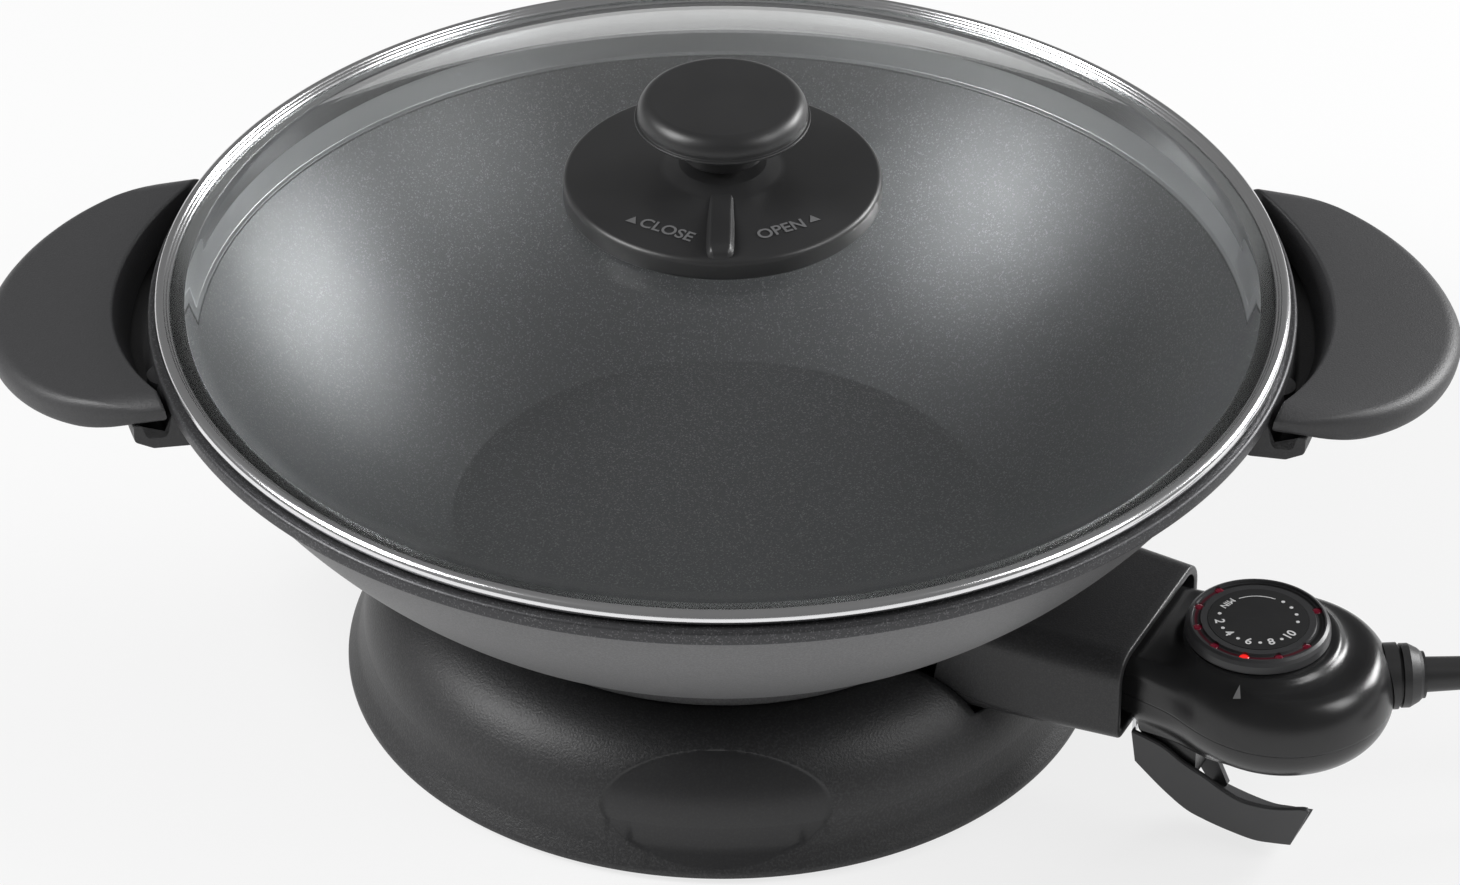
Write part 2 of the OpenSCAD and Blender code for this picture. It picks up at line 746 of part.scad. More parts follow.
// Outer form of the control: the round housing and a neck that fits the socket
module control_solid() {
    bulb_solid();
    hull() {
        slab(socket_x - 26, neck_w, neck_h, socket_z, 4, 1);
        slab(socket_x + 10, neck_w, neck_h, socket_z, 6, 1);
    }
    hull() {
        slab(socket_x + 2, neck_w, neck_h, socket_z, 6, 1);
        slab(bulb_x - 12, 2 * bulb_r - 12, bulb_top - bulb_bottom - 6, (bulb_top + bulb_bottom) / 2, 12, 1);
    }
    translate([bezel_x, 0, seam_z + 4]) cylinder(r = bezel_r, h = bulb_top + bezel_h - seam_z - 4);
}

module control_cavity() {
    translate([bulb_x - 2, 0, bulb_bottom + 4]) cylinder(r = bulb_r - 9, h = bulb_top - bulb_bottom - 8);
    translate([socket_x - 4, -8, socket_z - 7]) cube([bulb_reach, 16, 14]);
}

module control_holes() {
    for (s = [-1, 1]) translate([socket_x - 27, s * pin_pitch / 2, element_z]) rotate([0, 90, 0])
        cylinder(r = pin_r + 0.6, h = 32);
    translate([socket_x - 27, 0, sensor_z]) rotate([0, 90, 0]) cylinder(r = sensor_r, h = 30);
    translate([dial_x, 0, seam_z]) cylinder(r = spindle_r + run_gap, h = bulb_top);
    collar_place() translate([collar_from - 6, 0, 0]) rotate([0, 90, 0]) cylinder(r = collar_r - 3, h = 20);
}

module collar_place() {
    translate([bulb_x, 0, collar_z]) rotate([0, 0, collar_az - control_az]) children();
}

module control_top() {
    color([0.09, 0.09, 0.1])
        control_frame() difference() {
            intersection() {
                control_solid();
                translate([socket_x - 40, -bulb_r - 10, seam_z]) cube([2 * bulb_r + 60, 2 * bulb_r + 20, 60]);
            }
            control_cavity();
            control_holes();
            translate([dial_x, 0, lamp_z]) ring(window_at - 2.5, window_at + 2.5, 0, 3);
        }
}

// The neck's underside outside the socket, which carries the release lever
module control_chin() {
    translate([0, neck_w / 2 - 2, 0]) rotate([90, 0, 0]) linear_extrude(neck_w - 4)
        polygon([[socket_x + 1.7, chin_z + 1.5], [socket_x + 3.2, chin_z], [bulb_x - 21, chin_z],
                 [bulb_x - 16, chin_z + 4], [bulb_x - 16, seam_z - 3], [socket_x + 1.7, seam_z - 3]]);
}

module control_bottom() {
    color([0.08, 0.08, 0.09])
        control_frame() difference() {
            union() {
                intersection() {
                    control_solid();
                    translate([socket_x - 40, -bulb_r - 10, seam_z - 60])
                        cube([2 * bulb_r + 60, 2 * bulb_r + 20, 60]);
                }
                control_chin();
                hull() {
                    translate([pivot_x, lever_y + lever_t + lug_gap, pivot_z]) rotate([-90, 0, 0])
                        cylinder(r = ear_r, h = lever_w - 2 * lever_t - 2 * lug_gap);
                    translate([lever_x + 1.5, lever_y + lever_t + lug_gap, chin_z])
                        cube([pivot_x + ear_r - lever_x - 1.5, lever_w - 2 * lever_t - 2 * lug_gap, 5]);
                }
            }
            control_cavity();
            control_holes();
            lever_bore(lever_pin_r);
            leaf();
            for (s = [-1, 1]) translate([bulb_x + 8, s * (bulb_r - 16), bulb_bottom - 1]) {
                cylinder(r = 3.6, h = 4);
                cylinder(r = screw_r, h = 12);
            }
        }
}

module control_screw(s) {
    color([0.7, 0.7, 0.72])
        control_frame() translate([bulb_x + 8, s * (bulb_r - 16), 0])
            screw_up(bulb_bottom + 3, 8, 3.3, 2);
}

module sensor_rod() {
    color([0.8, 0.8, 0.82])
        control_frame() translate([block_x + 1, 0, sensor_z]) rotate([0, 90, 0])
            cylinder(r = sensor_r - run_gap, h = socket_x - block_x + 6);
}

module thermostat() {
    color([0.7, 0.68, 0.6])
        control_frame() difference() {
            translate([dial_x - 12, -9, bulb_bottom + 4]) cube([24, 18, bulb_top - bulb_bottom - 14]);
            translate([dial_x, 0, seam_z]) cylinder(r = spindle_r + run_gap, h = 20);
        }
}

module lamp_ring() {
    color([0.6, 0.04, 0.05])
        control_frame() translate([dial_x, 0, lamp_z]) ring(window_at - 2.5, window_at + 2.5, 0, 2.5);
}

module dial() {
    color([0.14, 0.14, 0.15])
        control_frame() translate([dial_x, 0, 0]) difference() {
            rotate_extrude()
                polygon([[0, dial_z], [dial_r - 0.6, dial_z], [dial_r, dial_z + 0.8],
                         [dial_r - 0.2, dial_top - 1.8], [dial_r - 0.7, dial_top - 0.6],
                         [dial_r - 1.6, dial_top],
                         [window_at + 1.4, dial_top], [window_at + 1.1, dial_top - 0.7],
                         [window_at - 1.1, dial_top - 0.7], [window_at - 1.4, dial_top],
                         [dial_face_r, dial_top], [dial_face_r, dial_top - 0.8], [0, dial_top - 0.8]]);
            for (az = window_az) rotate([0, 0, az - control_az]) translate([window_at, 0, dial_z - 1])
                cylinder(r = 1.6, h = dial_h + 2);
            translate([0, 0, dial_z - 1]) cylinder(r = spindle_r, h = dial_h - 2);
        }
}

module dial_face() {
    color([0.1, 0.1, 0.11])
        control_frame() translate([dial_x, 0, dial_top - 0.8]) cylinder(r = dial_face_r - 0.1, h = 0.9);
}

module dial_spindle() {
    color([0.75, 0.75, 0.77])
        control_frame() translate([dial_x, 0, seam_z + 1]) cylinder(r = spindle_r, h = dial_top - seam_z - 4);
}

// Side view of the lever's wall: it hangs from the mouth, dips under the housing and turns up again
function lever_edge() = [[0, 0], [10, -2.5], [18, -6], [25, -8.5], [32, -12], [38, -13.8], [45, -13.6],
    [51, -12.3], [58.5, -9.8], [60, -10.8], [54.6, -25.6], [48, -27], [42, -27.8], [33, -26.9], [25, -25.4],
    [19, -23.5], [12, -19], [6, -14.2], [1.7, -10.5]];

// Side view of the finger pad, a strip along the lever's lower edge
function pad_edge() = [[22, -24.5], [33, -26.9], [42, -27.8], [48, -27], [54.6, -25.6],
    [55.4, -23.2], [48, -24.4], [42, -25.2], [33, -24.2], [22, -21.8]];

module lever_bore(r) {
    translate([pivot_x, lever_y + lever_t / 2, pivot_z]) rotate([-90, 0, 0]) cylinder(r = r, h = lever_w);
}

module release_lever() {
    color([0.35, 0.35, 0.36])
        control_frame() difference() {
            union() {
                translate([lever_x, lever_y + lever_t, lever_top]) rotate([90, 0, 0])
                    linear_extrude(lever_t) polygon(lever_edge());
                translate([lever_x, lever_y + lever_w, lever_top]) rotate([90, 0, 0])
                    linear_extrude(lever_w) polygon(pad_edge());
                for (y = [lever_y, lever_y + lever_w - lever_t]) hull() {
                    translate([pivot_x, y, pivot_z]) rotate([-90, 0, 0]) cylinder(r = ear_r, h = lever_t);
                    translate([lever_x + 22, y, lever_top - 24.5]) cube([12, lever_t, 1]);
                }
            }
            lever_bore(lever_pin_r + run_gap);
        }
}

module lever_pin() {
    color([0.78, 0.78, 0.8])
        control_frame() translate([pivot_x, lever_y + lever_t / 2 + 0.2, pivot_z]) rotate([-90, 0, 0])
            cylinder(r = lever_pin_r, h = lever_w - lever_t / 2 - 0.4);
}

// A bright steel leaf on the neck that bears on the lever's root
module leaf() {
    translate([socket_x + 0.5, lever_y + 6.5, 0]) rotate([90, 0, 0]) linear_extrude(5)
        polygon([[0, mouth_low + 3.1], [5, mouth_low + 3.1], [5, mouth_low + 1.9], [1.2, mouth_low + 1.9],
                 [1.2, lever_top + 0.4], [0, lever_top + 0.4]]);
}

module lever_spring() {
    color([0.85, 0.85, 0.87]) control_frame() leaf();
}

module cord_collar() {
    color([0.1, 0.1, 0.11])
        control_frame() {
            difference() {
                collar_place() rotate([0, 90, 0]) rotate_extrude()
                    polygon([[collar_r - 3.2, collar_from], [collar_r, collar_from],
                             [collar_r, collar_to - 4.6],
                             [collar_r - 1.6, collar_to - 4.4], [collar_r - 1.6, collar_to - 3.6],
                             [collar_r - 0.4, collar_to - 3.4], [collar_r - 0.4, collar_to - 1],
                             [collar_r - 2, collar_to + 2], [relief_r + 1, relief_from],
                             [collar_r - 3.2, relief_from - 1]]);
                bulb_solid();
            }
            collar_place() translate([collar_from - 4, 0, 0]) rotate([0, 90, 0])
                cylinder(r = collar_r - 3.1, h = relief_from - collar_from + 4);
        }
}

module strain_relief() {
    color([0.09, 0.09, 0.1])
        control_frame() collar_place() rotate([0, 90, 0]) difference() {
            translate([0, 0, relief_from]) cylinder(r1 = relief_r, r2 = cord_r + 0.6, h = relief_l);
            for (i = [0:5]) translate([0, 0, relief_from + 8 + i * 4.5])
                rotate_extrude() translate([relief_r - 0.2 - i * 0.17, 0]) square([3, 1.6]);
        }
}

// ---------------------------------------------------------------- cord

function unit(v) = v / norm(v);

// One point of the smooth curve through a route, between its points i and i + 1
function spline(p, i, t) =
    let (a = p[max(i - 1, 0)], b = p[i], c = p[i + 1], d = p[min(i + 2, len(p) - 1)])
    0.5 * ((2 * b) + (c - a) * t + (2 * a - 5 * b + 4 * c - d) * t * t + (3 * b - a - 3 * c + d) * t * t * t);

// The first and last stretches stay straight; the others are divided in four
function smooth(p) = concat([p[0]],
    [for (i = [1:len(p) - 2], k = [0:3]) spline(p, i, k / 4)], [p[len(p) - 1]]);

// Sweep a round section with the given sides along a path, from the flat end ring to the other
module tube(path, r, sides) {
    n = len(path);
    dirs = [for (i = [0:n - 1]) unit(path[min(i + 1, n - 1)] - path[max(i - 1, 0)])];
    points = [for (i = [0:n - 1]) let (side = unit(cross(dirs[i], [0, 0, 1])), up = cross(side, dirs[i]))
        for (k = [0:sides - 1]) let (a = (k + 0.5) * 360 / sides)
            path[i] + r * (side * cos(a) + up * sin(a))];
    last = (n - 1) * sides;
    faces = concat(
        [[for (k = [0:sides - 1]) k]],
        [for (i = [0:n - 2], k = [0:sides - 1]) let (a = i * sides + k, b = i * sides + (k + 1) % sides)
            [a, a + sides, b + sides]],
        [for (i = [0:n - 2], k = [0:sides - 1]) let (a = i * sides + k, b = i * sides + (k + 1) % sides)
            [a, b + sides, b]],
        [[for (k = [sides - 1:-1:0]) last + k]]);
    polyhedron(points, faces, convexity = 8);
}

function placed(route, at) = [for (p = smooth(route)) at + p];

module cord_lead() {
    color([0.1, 0.1, 0.11]) tube(placed(lead_route, lead_start), cord_r, 10);
}

// The coil winds in on the table, climbs a layer in the half turn where it reverses, and winds out
// again on top. t counts turns.
coil_in_r = coil_out_r - coil_pitch * loops_in;
turns = loops_in + 0.5 + loops_out;
function coil_radius(t) = t < loops_in ? coil_out_r - coil_pitch * t :
    t < loops_in + 0.5 ? coil_in_r - 2 * sin((t - loops_in) * 360) :
    coil_in_r + coil_pitch * (t - loops_in - 0.5);
function coil_height(t) = cord_r + coil_lift * min(1, max(0, (t - loops_in) * 2));

coil_entry = lead_start + lead_route[len(lead_route) - 1];
coil_centre = [coil_entry[0] + 2 * cord_d, coil_entry[1] - coil_out_r];
coil_loop = [for (i = [0:loop_rings * turns]) let (t = i / loop_rings, a = 90 - 360 * t)
    [coil_centre[0] + coil_radius(t) * cos(a), coil_centre[1] + coil_radius(t) * sin(a), coil_height(t)]];
coil_end = coil_loop[len(coil_loop) - 1] + [1.5 * cord_d, 0, 0];
coil_path = concat([coil_entry, coil_entry + [cord_d, 0, 0]], coil_loop,
                   [coil_end - [0.5 * cord_d, 0, 0], coil_end]);

// The least gap between one turn and another, measured between the rings' centres
echo(coil_gap = min([for (i = [0:len(coil_loop) - 1], j = [i + loop_rings - 6:len(coil_loop) - 1])
    norm(coil_loop[i] - coil_loop[j])]) - cord_d);

module cord_coil() {
    color([0.1, 0.1, 0.11]) tube(coil_path, cord_r, 6);
}

module cord_tail() {
    color([0.1, 0.1, 0.11]) tube(placed(tail_route, coil_end), cord_r, 10);
}

plug_at = coil_end + tail_route[len(tail_route) - 1];

module plug_body() {
    color([0.1, 0.1, 0.11])
        translate(plug_at) rotate([0, 90, 0]) difference() {
            rotate_extrude()
                polygon([[0, 0], [cord_r + 1, 0], [cord_r + 2.5, plug_neck], [plug_r - 4, plug_neck + 5],
                         [plug_r - 1.5, plug_neck + 14], [plug_r - 1, plug_neck + plug_l - 8],
                         [plug_r, plug_neck + plug_l - 6], [plug_r, plug_neck + plug_l],
                         [0, plug_neck + plug_l]]);
            for (s = [-1, 1]) translate([0, s * plug_pin_pitch / 2, plug_neck + plug_l - plug_pin_in])
                cylinder(r = plug_core_r, h = plug_pin_in + 1);
        }
}

// A pin: a thinner core moulded into the plug, a millimetre of it showing, then the contact and its tip
module plug_pin(s) {
    tip = 2;
    color([0.75, 0.72, 0.6])
        translate(plug_at) rotate([0, 90, 0]) translate([0, s * plug_pin_pitch / 2, plug_neck + plug_l]) {
            translate([0, 0, -plug_pin_in]) cylinder(r = plug_core_r, h = plug_pin_in + 1 + eps);
            translate([0, 0, 1]) cylinder(r = plug_pin_r, h = plug_pin_l - tip - 1);
            translate([0, 0, plug_pin_l - tip - eps]) cylinder(r1 = plug_pin_r, r2 = plug_pin_r - 1, h = tip);
        }
}

base_skirt();
base_cover();
heat_reflector();
for (i = [0:3]) base_foot(i);
for (i = [0:2]) base_screw(i);
wok_bowl();
heating_element();
terminal_block();
terminal_pin(-1);  // terminal_pin_near
terminal_pin(1);  // terminal_pin_far
socket_upper();
socket_lower();
socket_screw();
handle_left();
handle_right();
handle_screw(180, -1);  // handle_left_screw_1
handle_screw(180, 1);  // handle_left_screw_2
handle_screw(0, -1);  // handle_right_screw_1
handle_screw(0, 1);  // handle_right_screw_2
lid_glass();
lid_band();
vent_seal();
vent_bush();
vent_disc();
lid_knob();
knob_cap();
knob_screw();
knob_washer();
control_top();
control_bottom();
sensor_rod();
thermostat();
lamp_ring();
dial();
dial_face();
dial_spindle();
release_lever();
lever_pin();
lever_spring();
control_screw(-1);  // control_screw_1
control_screw(1);  // control_screw_2
cord_collar();
strain_relief();
cord_lead();
cord_coil();
cord_tail();
plug_body();
plug_pin(-1);  // plug_pin_1
plug_pin(1);  // plug_pin_2
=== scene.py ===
import bpy
import bmesh
import numpy as np
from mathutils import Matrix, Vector


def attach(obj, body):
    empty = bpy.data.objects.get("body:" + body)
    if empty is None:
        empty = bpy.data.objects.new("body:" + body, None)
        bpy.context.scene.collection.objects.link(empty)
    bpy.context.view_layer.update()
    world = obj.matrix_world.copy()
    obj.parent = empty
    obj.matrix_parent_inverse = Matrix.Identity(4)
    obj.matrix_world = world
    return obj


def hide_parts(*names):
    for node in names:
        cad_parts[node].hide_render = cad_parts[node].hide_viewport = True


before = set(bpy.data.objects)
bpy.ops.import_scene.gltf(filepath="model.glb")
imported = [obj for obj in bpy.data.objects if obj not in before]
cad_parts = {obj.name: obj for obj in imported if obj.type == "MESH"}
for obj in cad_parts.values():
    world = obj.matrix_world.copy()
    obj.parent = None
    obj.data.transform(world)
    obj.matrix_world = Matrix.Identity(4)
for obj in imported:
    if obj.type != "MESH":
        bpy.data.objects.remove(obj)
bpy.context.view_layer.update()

# ---------------------------------------------------------------- camera
# A long lens stands two metres in front of the wok, a degree to its right, and looks 35 degrees down.
# Its length and shift give the photograph's framing.
MM = 0.001
CAMERA_DISTANCE = 2.0
CAMERA_DOWN = np.radians(35.05)
CAMERA_TURN = np.radians(1.0)
AIM_HEIGHT = 82.4 * MM
LENS_MM = 154.46
FRAMING_SHIFT = 0.00507


def put(name, data):
    """A new object in the scene."""
    made = bpy.data.objects.new(name, data)
    bpy.context.scene.collection.objects.link(made)
    return made


camera_data = bpy.data.cameras.new("camera")
camera_data.sensor_width = 36
camera_data.lens = LENS_MM
camera_data.shift_x = FRAMING_SHIFT
camera_data.clip_end = 50
camera = put("camera", camera_data)
camera_reach = CAMERA_DISTANCE * np.cos(CAMERA_DOWN)
camera.location = (camera_reach * np.sin(CAMERA_TURN), -camera_reach * np.cos(CAMERA_TURN),
                   AIM_HEIGHT + CAMERA_DISTANCE * np.sin(CAMERA_DOWN))
camera.rotation_euler = (np.pi / 2 - CAMERA_DOWN, 0, CAMERA_TURN)
bpy.context.scene.camera = camera
bpy.context.scene.view_settings.view_transform = "Standard"

# ---------------------------------------------------------------- mains cord
# An 8 mm sleeved cord in one length: straight out of the tapered relief, down to the table, then wound
# into a coil in two layers beside the wok. It ends in a moulded plug with two round pins.
CORD_D = 8.0
CONTROL_AZ = np.radians(-25)
BULB_X = 193.5
SEAM_Z = 48.5
COLLAR_AZ = np.radians(5)
COLLAR_Z = SEAM_Z + 3
RELIEF_FROM = 44.5
RELIEF_L = 36.0
COIL_PITCH = CORD_D + 0.8
COIL_LIFT = CORD_D + 0.6
COIL_OUT_R = 54.0
LOOPS_IN, LOOPS_OUT = 1.5, 2.0
LOOP_STEPS = 24
PLUG_R = 18.0

lead_dir = np.array([np.cos(COLLAR_AZ), np.sin(COLLAR_AZ), 0])
lead_start = (np.array([BULB_X * np.cos(CONTROL_AZ), BULB_X * np.sin(CONTROL_AZ), COLLAR_Z])
              + (RELIEF_FROM + RELIEF_L) * lead_dir)
lead_drop = CORD_D / 2 - COLLAR_Z
plug_rise = PLUG_R - CORD_D / 2 - COIL_LIFT
lead_route = np.array([[0, 0, 0], list(CORD_D * lead_dir), [32, 4, -5], [56, 11, -20], [79, 20, -35],
                       [100, 30, -43], [119, 37, lead_drop], [136, 40, lead_drop], [146, 40, lead_drop]])
tail_route = np.array([[0, 0, 0], [8, 0, 0], [24, 1, -2.5], [42, 3, -5], [60, 4, -3], [78, 4, 3.4],
                       [93, 4, plug_rise], [102, 4, plug_rise]])


def polar(radius, angle, height):
    """Points at a distance from the Z axis, an angle round it and a height. All three may be arrays."""
    x, y = radius * np.cos(angle), radius * np.sin(angle)
    return np.stack([x, y, height + 0 * x], axis=-1)


def smooth_route(points, parts=4):
    """The curve through the points: each stretch between two is the cubic whose slope at a point is half the
    step from the point before to the point after. The first and last stretches stay straight."""
    before, here, after, beyond = points[:-3], points[1:-2], points[2:-1], points[3:]
    t = (np.arange(parts) / parts)[None, :, None]
    a, b, c, d = (p[:, None, :] for p in (before, here, after, beyond))
    inside = 0.5 * (2 * b + (c - a) * t + (2 * a - 5 * b + 4 * c - d) * t**2 + (3 * b - a - 3 * c + d) * t**3)
    return np.vstack([points[:1], inside.reshape(-1, 3), points[-2:]])


# The coil: t counts turns, the radius shrinks by one pitch a turn, stays through the half turn that
# climbs a layer, and grows again on top.
t = np.arange(LOOP_STEPS * (LOOPS_IN + 0.5 + LOOPS_OUT) + 1) / LOOP_STEPS
coil_in_r = COIL_OUT_R - COIL_PITCH * LOOPS_IN
coil_r = np.where(t < LOOPS_IN, COIL_OUT_R - COIL_PITCH * t,
                  np.where(t < LOOPS_IN + 0.5, coil_in_r - 2 * np.sin((t - LOOPS_IN) * 2 * np.pi),
                           coil_in_r + COIL_PITCH * (t - LOOPS_IN - 0.5)))
coil_z = CORD_D / 2 + COIL_LIFT * np.clip((t - LOOPS_IN) * 2, 0, 1)
coil_entry = lead_start + lead_route[-1]
coil_centre = coil_entry + np.array([2 * CORD_D, -COIL_OUT_R, 0])
coil_angle = np.pi / 2 - 2 * np.pi * t
coil = coil_centre * [1, 1, 0] + polar(coil_r, coil_angle, coil_z)
coil_end = coil[-1] + np.array([1.5 * CORD_D, 0, 0])
cord_route = MM * np.vstack([lead_start + smooth_route(lead_route), coil,
                             coil_end + smooth_route(tail_route)])


class Value:
    """A shader socket with Python's operators: an expression on values adds its Math nodes."""

    def __init__(self, finish, socket):
        self.finish, self.socket = finish, socket

    def maths(self, operation, *others, clamp=False):
        terms = dict(enumerate((self, *others)))
        return self.finish.node("ShaderNodeMath", {"operation": operation, "use_clamp": clamp}, terms)

    def flipped(self, operation, other):
        return self.finish.node("ShaderNodeMath", {"operation": operation}, {0: other, 1: self})

    def __add__(self, other): return self.maths("ADD", other)
    def __radd__(self, other): return self.flipped("ADD", other)
    def __sub__(self, other): return self.maths("SUBTRACT", other)
    def __rsub__(self, other): return self.flipped("SUBTRACT", other)
    def __mul__(self, other): return self.maths("MULTIPLY", other)
    def __rmul__(self, other): return self.flipped("MULTIPLY", other)
    def __truediv__(self, other): return self.maths("DIVIDE", other)
    def __pow__(self, other): return self.maths("POWER", other)
    def __gt__(self, other): return self.maths("GREATER_THAN", other)
    def __lt__(self, other): return self.maths("LESS_THAN", other)
    def __abs__(self): return self.maths("ABSOLUTE")
    def root(self): return self.maths("SQRT")

    def between(self, low, high):
        """0 below low, 1 above high, and a soft step from one to the other."""
        return self.finish.node("ShaderNodeMapRange", {"interpolation_type": "SMOOTHSTEP", "clamp": True},
                                {"Value": self, "From Min": low, "From Max": high})


class Finish:
    """One material. node() adds any node, and surface() sets its colour, roughness and the rest."""

    def __init__(self, name, slot):
        self.slot = slot
        self.material = bpy.data.materials.new(name)
        self.material.use_nodes = True
        self.tree = self.material.node_tree
        self.shader = self.tree.nodes["Principled BSDF"]
        self.place = self.node("ShaderNodeTexCoord", output="Object")

    def node(self, kind, settings=None, inputs=None, output=0):
        made = self.tree.nodes.new(kind)
        for key, value in (settings or {}).items():
            setattr(made, key, value)
        for key, value in (inputs or {}).items():
            self.give(made.inputs[key], value)
        return Value(self, made.outputs[output])

    def give(self, socket, value):
        if isinstance(value, Value):
            self.tree.links.new(value.socket, socket)
        else:
            socket.default_value = value

    def surface(self, **values):
        for name, value in values.items():
            socket = self.shader.inputs[name.replace("_", " ").title().replace("Ior", "IOR")]
            if name == "base_color" and not isinstance(value, Value):
                value = (*value, 1)
            self.give(socket, value)
        return self

    def axes(self):
        """The place on the piece, as three values in millimetres."""
        parts = self.node("ShaderNodeVectorMath", {"operation": "SCALE"}, {0: self.place, "Scale": 1 / MM})
        split = self.tree.nodes.new("ShaderNodeSeparateXYZ")
        self.tree.links.new(parts.socket, split.inputs[0])
        return [Value(self, out) for out in split.outputs]

    def noise(self, size_mm, detail=2.0, roughness=0.5, stretch=(1, 1, 1)):
        """Soft noise from 0 to 1 in lumps about size_mm across, longer along an axis with a stretch."""
        scale = [1 / (MM * size_mm * s) for s in stretch]
        at = self.node("ShaderNodeMapping", {}, {"Vector": self.place, "Scale": scale})
        return self.node("ShaderNodeTexNoise", {}, {"Vector": at, "Scale": 1.0, "Detail": detail,
                                                    "Roughness": roughness})

    def cells(self, size_mm):
        """Cells about size_mm across, each with its own random level."""
        return self.node("ShaderNodeTexVoronoi", {}, {"Vector": self.place, "Scale": 1 / (MM * size_mm)},
                         output="Color")

    def bump(self, height, depth_mm, strength=1.0):
        return self.node("ShaderNodeBump", {}, {"Height": height, "Distance": depth_mm * MM,
                                                "Strength": strength})

    def mix(self, factor, first, second):
        """The first colour where factor is 0 and the second where it is 1."""
        colours = [(*c, 1) if isinstance(c, tuple) else c for c in (first, second)]
        made = self.tree.nodes.new("ShaderNodeMix")
        made.data_type = "RGBA"
        for index, value in ((0, factor), (6, colours[0]), (7, colours[1])):
            self.give(made.inputs[index], value)
        return Value(self, made.outputs[2])


def sleeve_finish():
    """Grey-black PVC sleeve: a faint orange peel and slightly scuffed gloss."""
    finish = Finish("sleeve_finish", "cord_sleeve")
    scuff = finish.noise(6.0)
    peel = finish.noise(0.5)
    return finish.surface(base_color=finish.mix(scuff, (0.055, 0.055, 0.057), (0.085, 0.085, 0.088)),
                          roughness=0.42 + 0.2 * scuff, normal=finish.bump(peel, 0.05, 0.5))


sleeve = sleeve_finish()
cord_curve = bpy.data.curves.new("mains_cord", "CURVE")
cord_curve.dimensions = "3D"
cord_curve.bevel_depth = CORD_D / 2 * MM
cord_curve.bevel_resolution = 6
cord_curve.use_fill_caps = True
line = cord_curve.splines.new("POLY")
line.points.add(len(cord_route) - 1)
line.points.foreach_set("co", np.hstack([cord_route, np.ones((len(cord_route), 1))]).ravel())
cord_curve.materials.append(sleeve.material)
mains_cord = put("mains_cord", cord_curve)
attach(mains_cord, "control")
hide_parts("cord_lead", "cord_coil", "cord_tail")

# ---------------------------------------------------------------- floor and light
# A white sweep under soft boxes. The floor and the world are white where the camera, a gloss or the glass
# sees them, and the floor keeps the object's soft shadow.
FLOOR_HALF = 6.0
FLOOR_WHITE, SKY_WHITE = 0.955, 0.97
SHADOW_KEPT = 0.2
FILL = 0.18


def seen_directly(finish):
    """1 where a ray comes from the camera, a mirror-like gloss or clear glass."""
    camera_ray, glossy_ray, through_ray = (
        finish.node("ShaderNodeLightPath", output="Is " + kind + " Ray")
        for kind in ("Camera", "Glossy", "Transmission"))
    return (camera_ray + glossy_ray).maths("ADD", through_ray, clamp=True)


floor_mesh = bpy.data.meshes.new("floor")
floor_mesh.from_pydata([(x * FLOOR_HALF, y * FLOOR_HALF, 0) for x, y in ((-1, -1), (1, -1), (1, 1), (-1, 1))],
                       [], [(0, 1, 2, 3)])
put("floor", floor_mesh)
floor_finish = Finish("floor_finish", None)
floor_finish.surface(base_color=(0.86, 0.86, 0.86), roughness=0.9)
glow = floor_finish.node("ShaderNodeEmission", {}, {"Color": (FLOOR_WHITE,) * 3 + (1,), "Strength": 1.0})
blend = floor_finish.node("ShaderNodeMixShader", {},
                          {0: seen_directly(floor_finish) * (1 - SHADOW_KEPT),
                           1: Value(floor_finish, floor_finish.shader.outputs[0]), 2: glow})
floor_finish.give(floor_finish.tree.nodes["Material Output"].inputs["Surface"], blend)
floor_mesh.materials.append(floor_finish.material)

world = bpy.data.worlds.new("studio")
world.use_nodes = True
bpy.context.scene.world = world
sky = world.node_tree
sky_path = sky.nodes.new("ShaderNodeLightPath")
sky_level = sky.nodes.new("ShaderNodeMapRange")
sky_level.inputs["To Min"].default_value = FILL
sky_level.inputs["To Max"].default_value = SKY_WHITE
sky.links.new(sky_path.outputs["Is Camera Ray"], sky_level.inputs["Value"])
sky.links.new(sky_level.outputs[0], sky.nodes["Background"].inputs["Strength"])
sky.nodes["Background"].inputs["Color"].default_value = (1, 1, 1, 1)


LIT_POINT = Vector((0, 0, 0.1))


def soft_box(name, place, width, height, watts):
    """A rectangular lamp at place, in metres, that faces the wok."""
    lamp_data = bpy.data.lights.new(name, "AREA")
    lamp_data.shape = "RECTANGLE"
    lamp_data.size, lamp_data.size_y, lamp_data.energy = width, height, watts
    lamp = put(name, lamp_data)
    lamp.location = place
    lamp.rotation_euler = (LIT_POINT - lamp.location).to_track_quat("-Z", "Y").to_euler()


soft_box("left_box", (-1.5, -0.35, 1.35), 0.9, 0.9, 38)
soft_box("back_right_box", (1.75, 0.95, 0.85), 1.0, 0.6, 42)
soft_box("right_box", (1.5, -0.5, 1.2), 0.6, 0.8, 12)

# ---------------------------------------------------------------- base
# One injection-moulded ABS dome with a spark-eroded grain. Its hem flares on the table, a ring on top
# centres the wok, an oval panel is recessed in front, and a notch at the top takes the control socket.
BASE_R, BASE_DOME_R, BASE_DOME_Z = 122.0, 116.5, 17.0
BASE_H, BASE_WALL, FEET_SHOW = 45.0, 3.0, 1.5
DOME_TOP_R = 89.0
SEAT_R, REGISTER_R = 80.0, 83.5
OVAL_W, OVAL_H, OVAL_DEPTH = 73.0, 35.0, 0.8
NOTCH_FLOOR = 32.7
NOTCH_OUT_HALF, NOTCH_OUT_R, NOTCH_TAPER = 36.6, 95.1, 0.06
NOTCH_TURN, NOTCH_STEPS, TOP_STEPS = 0.052, 43, 33
SAME_POINT = 2e-6


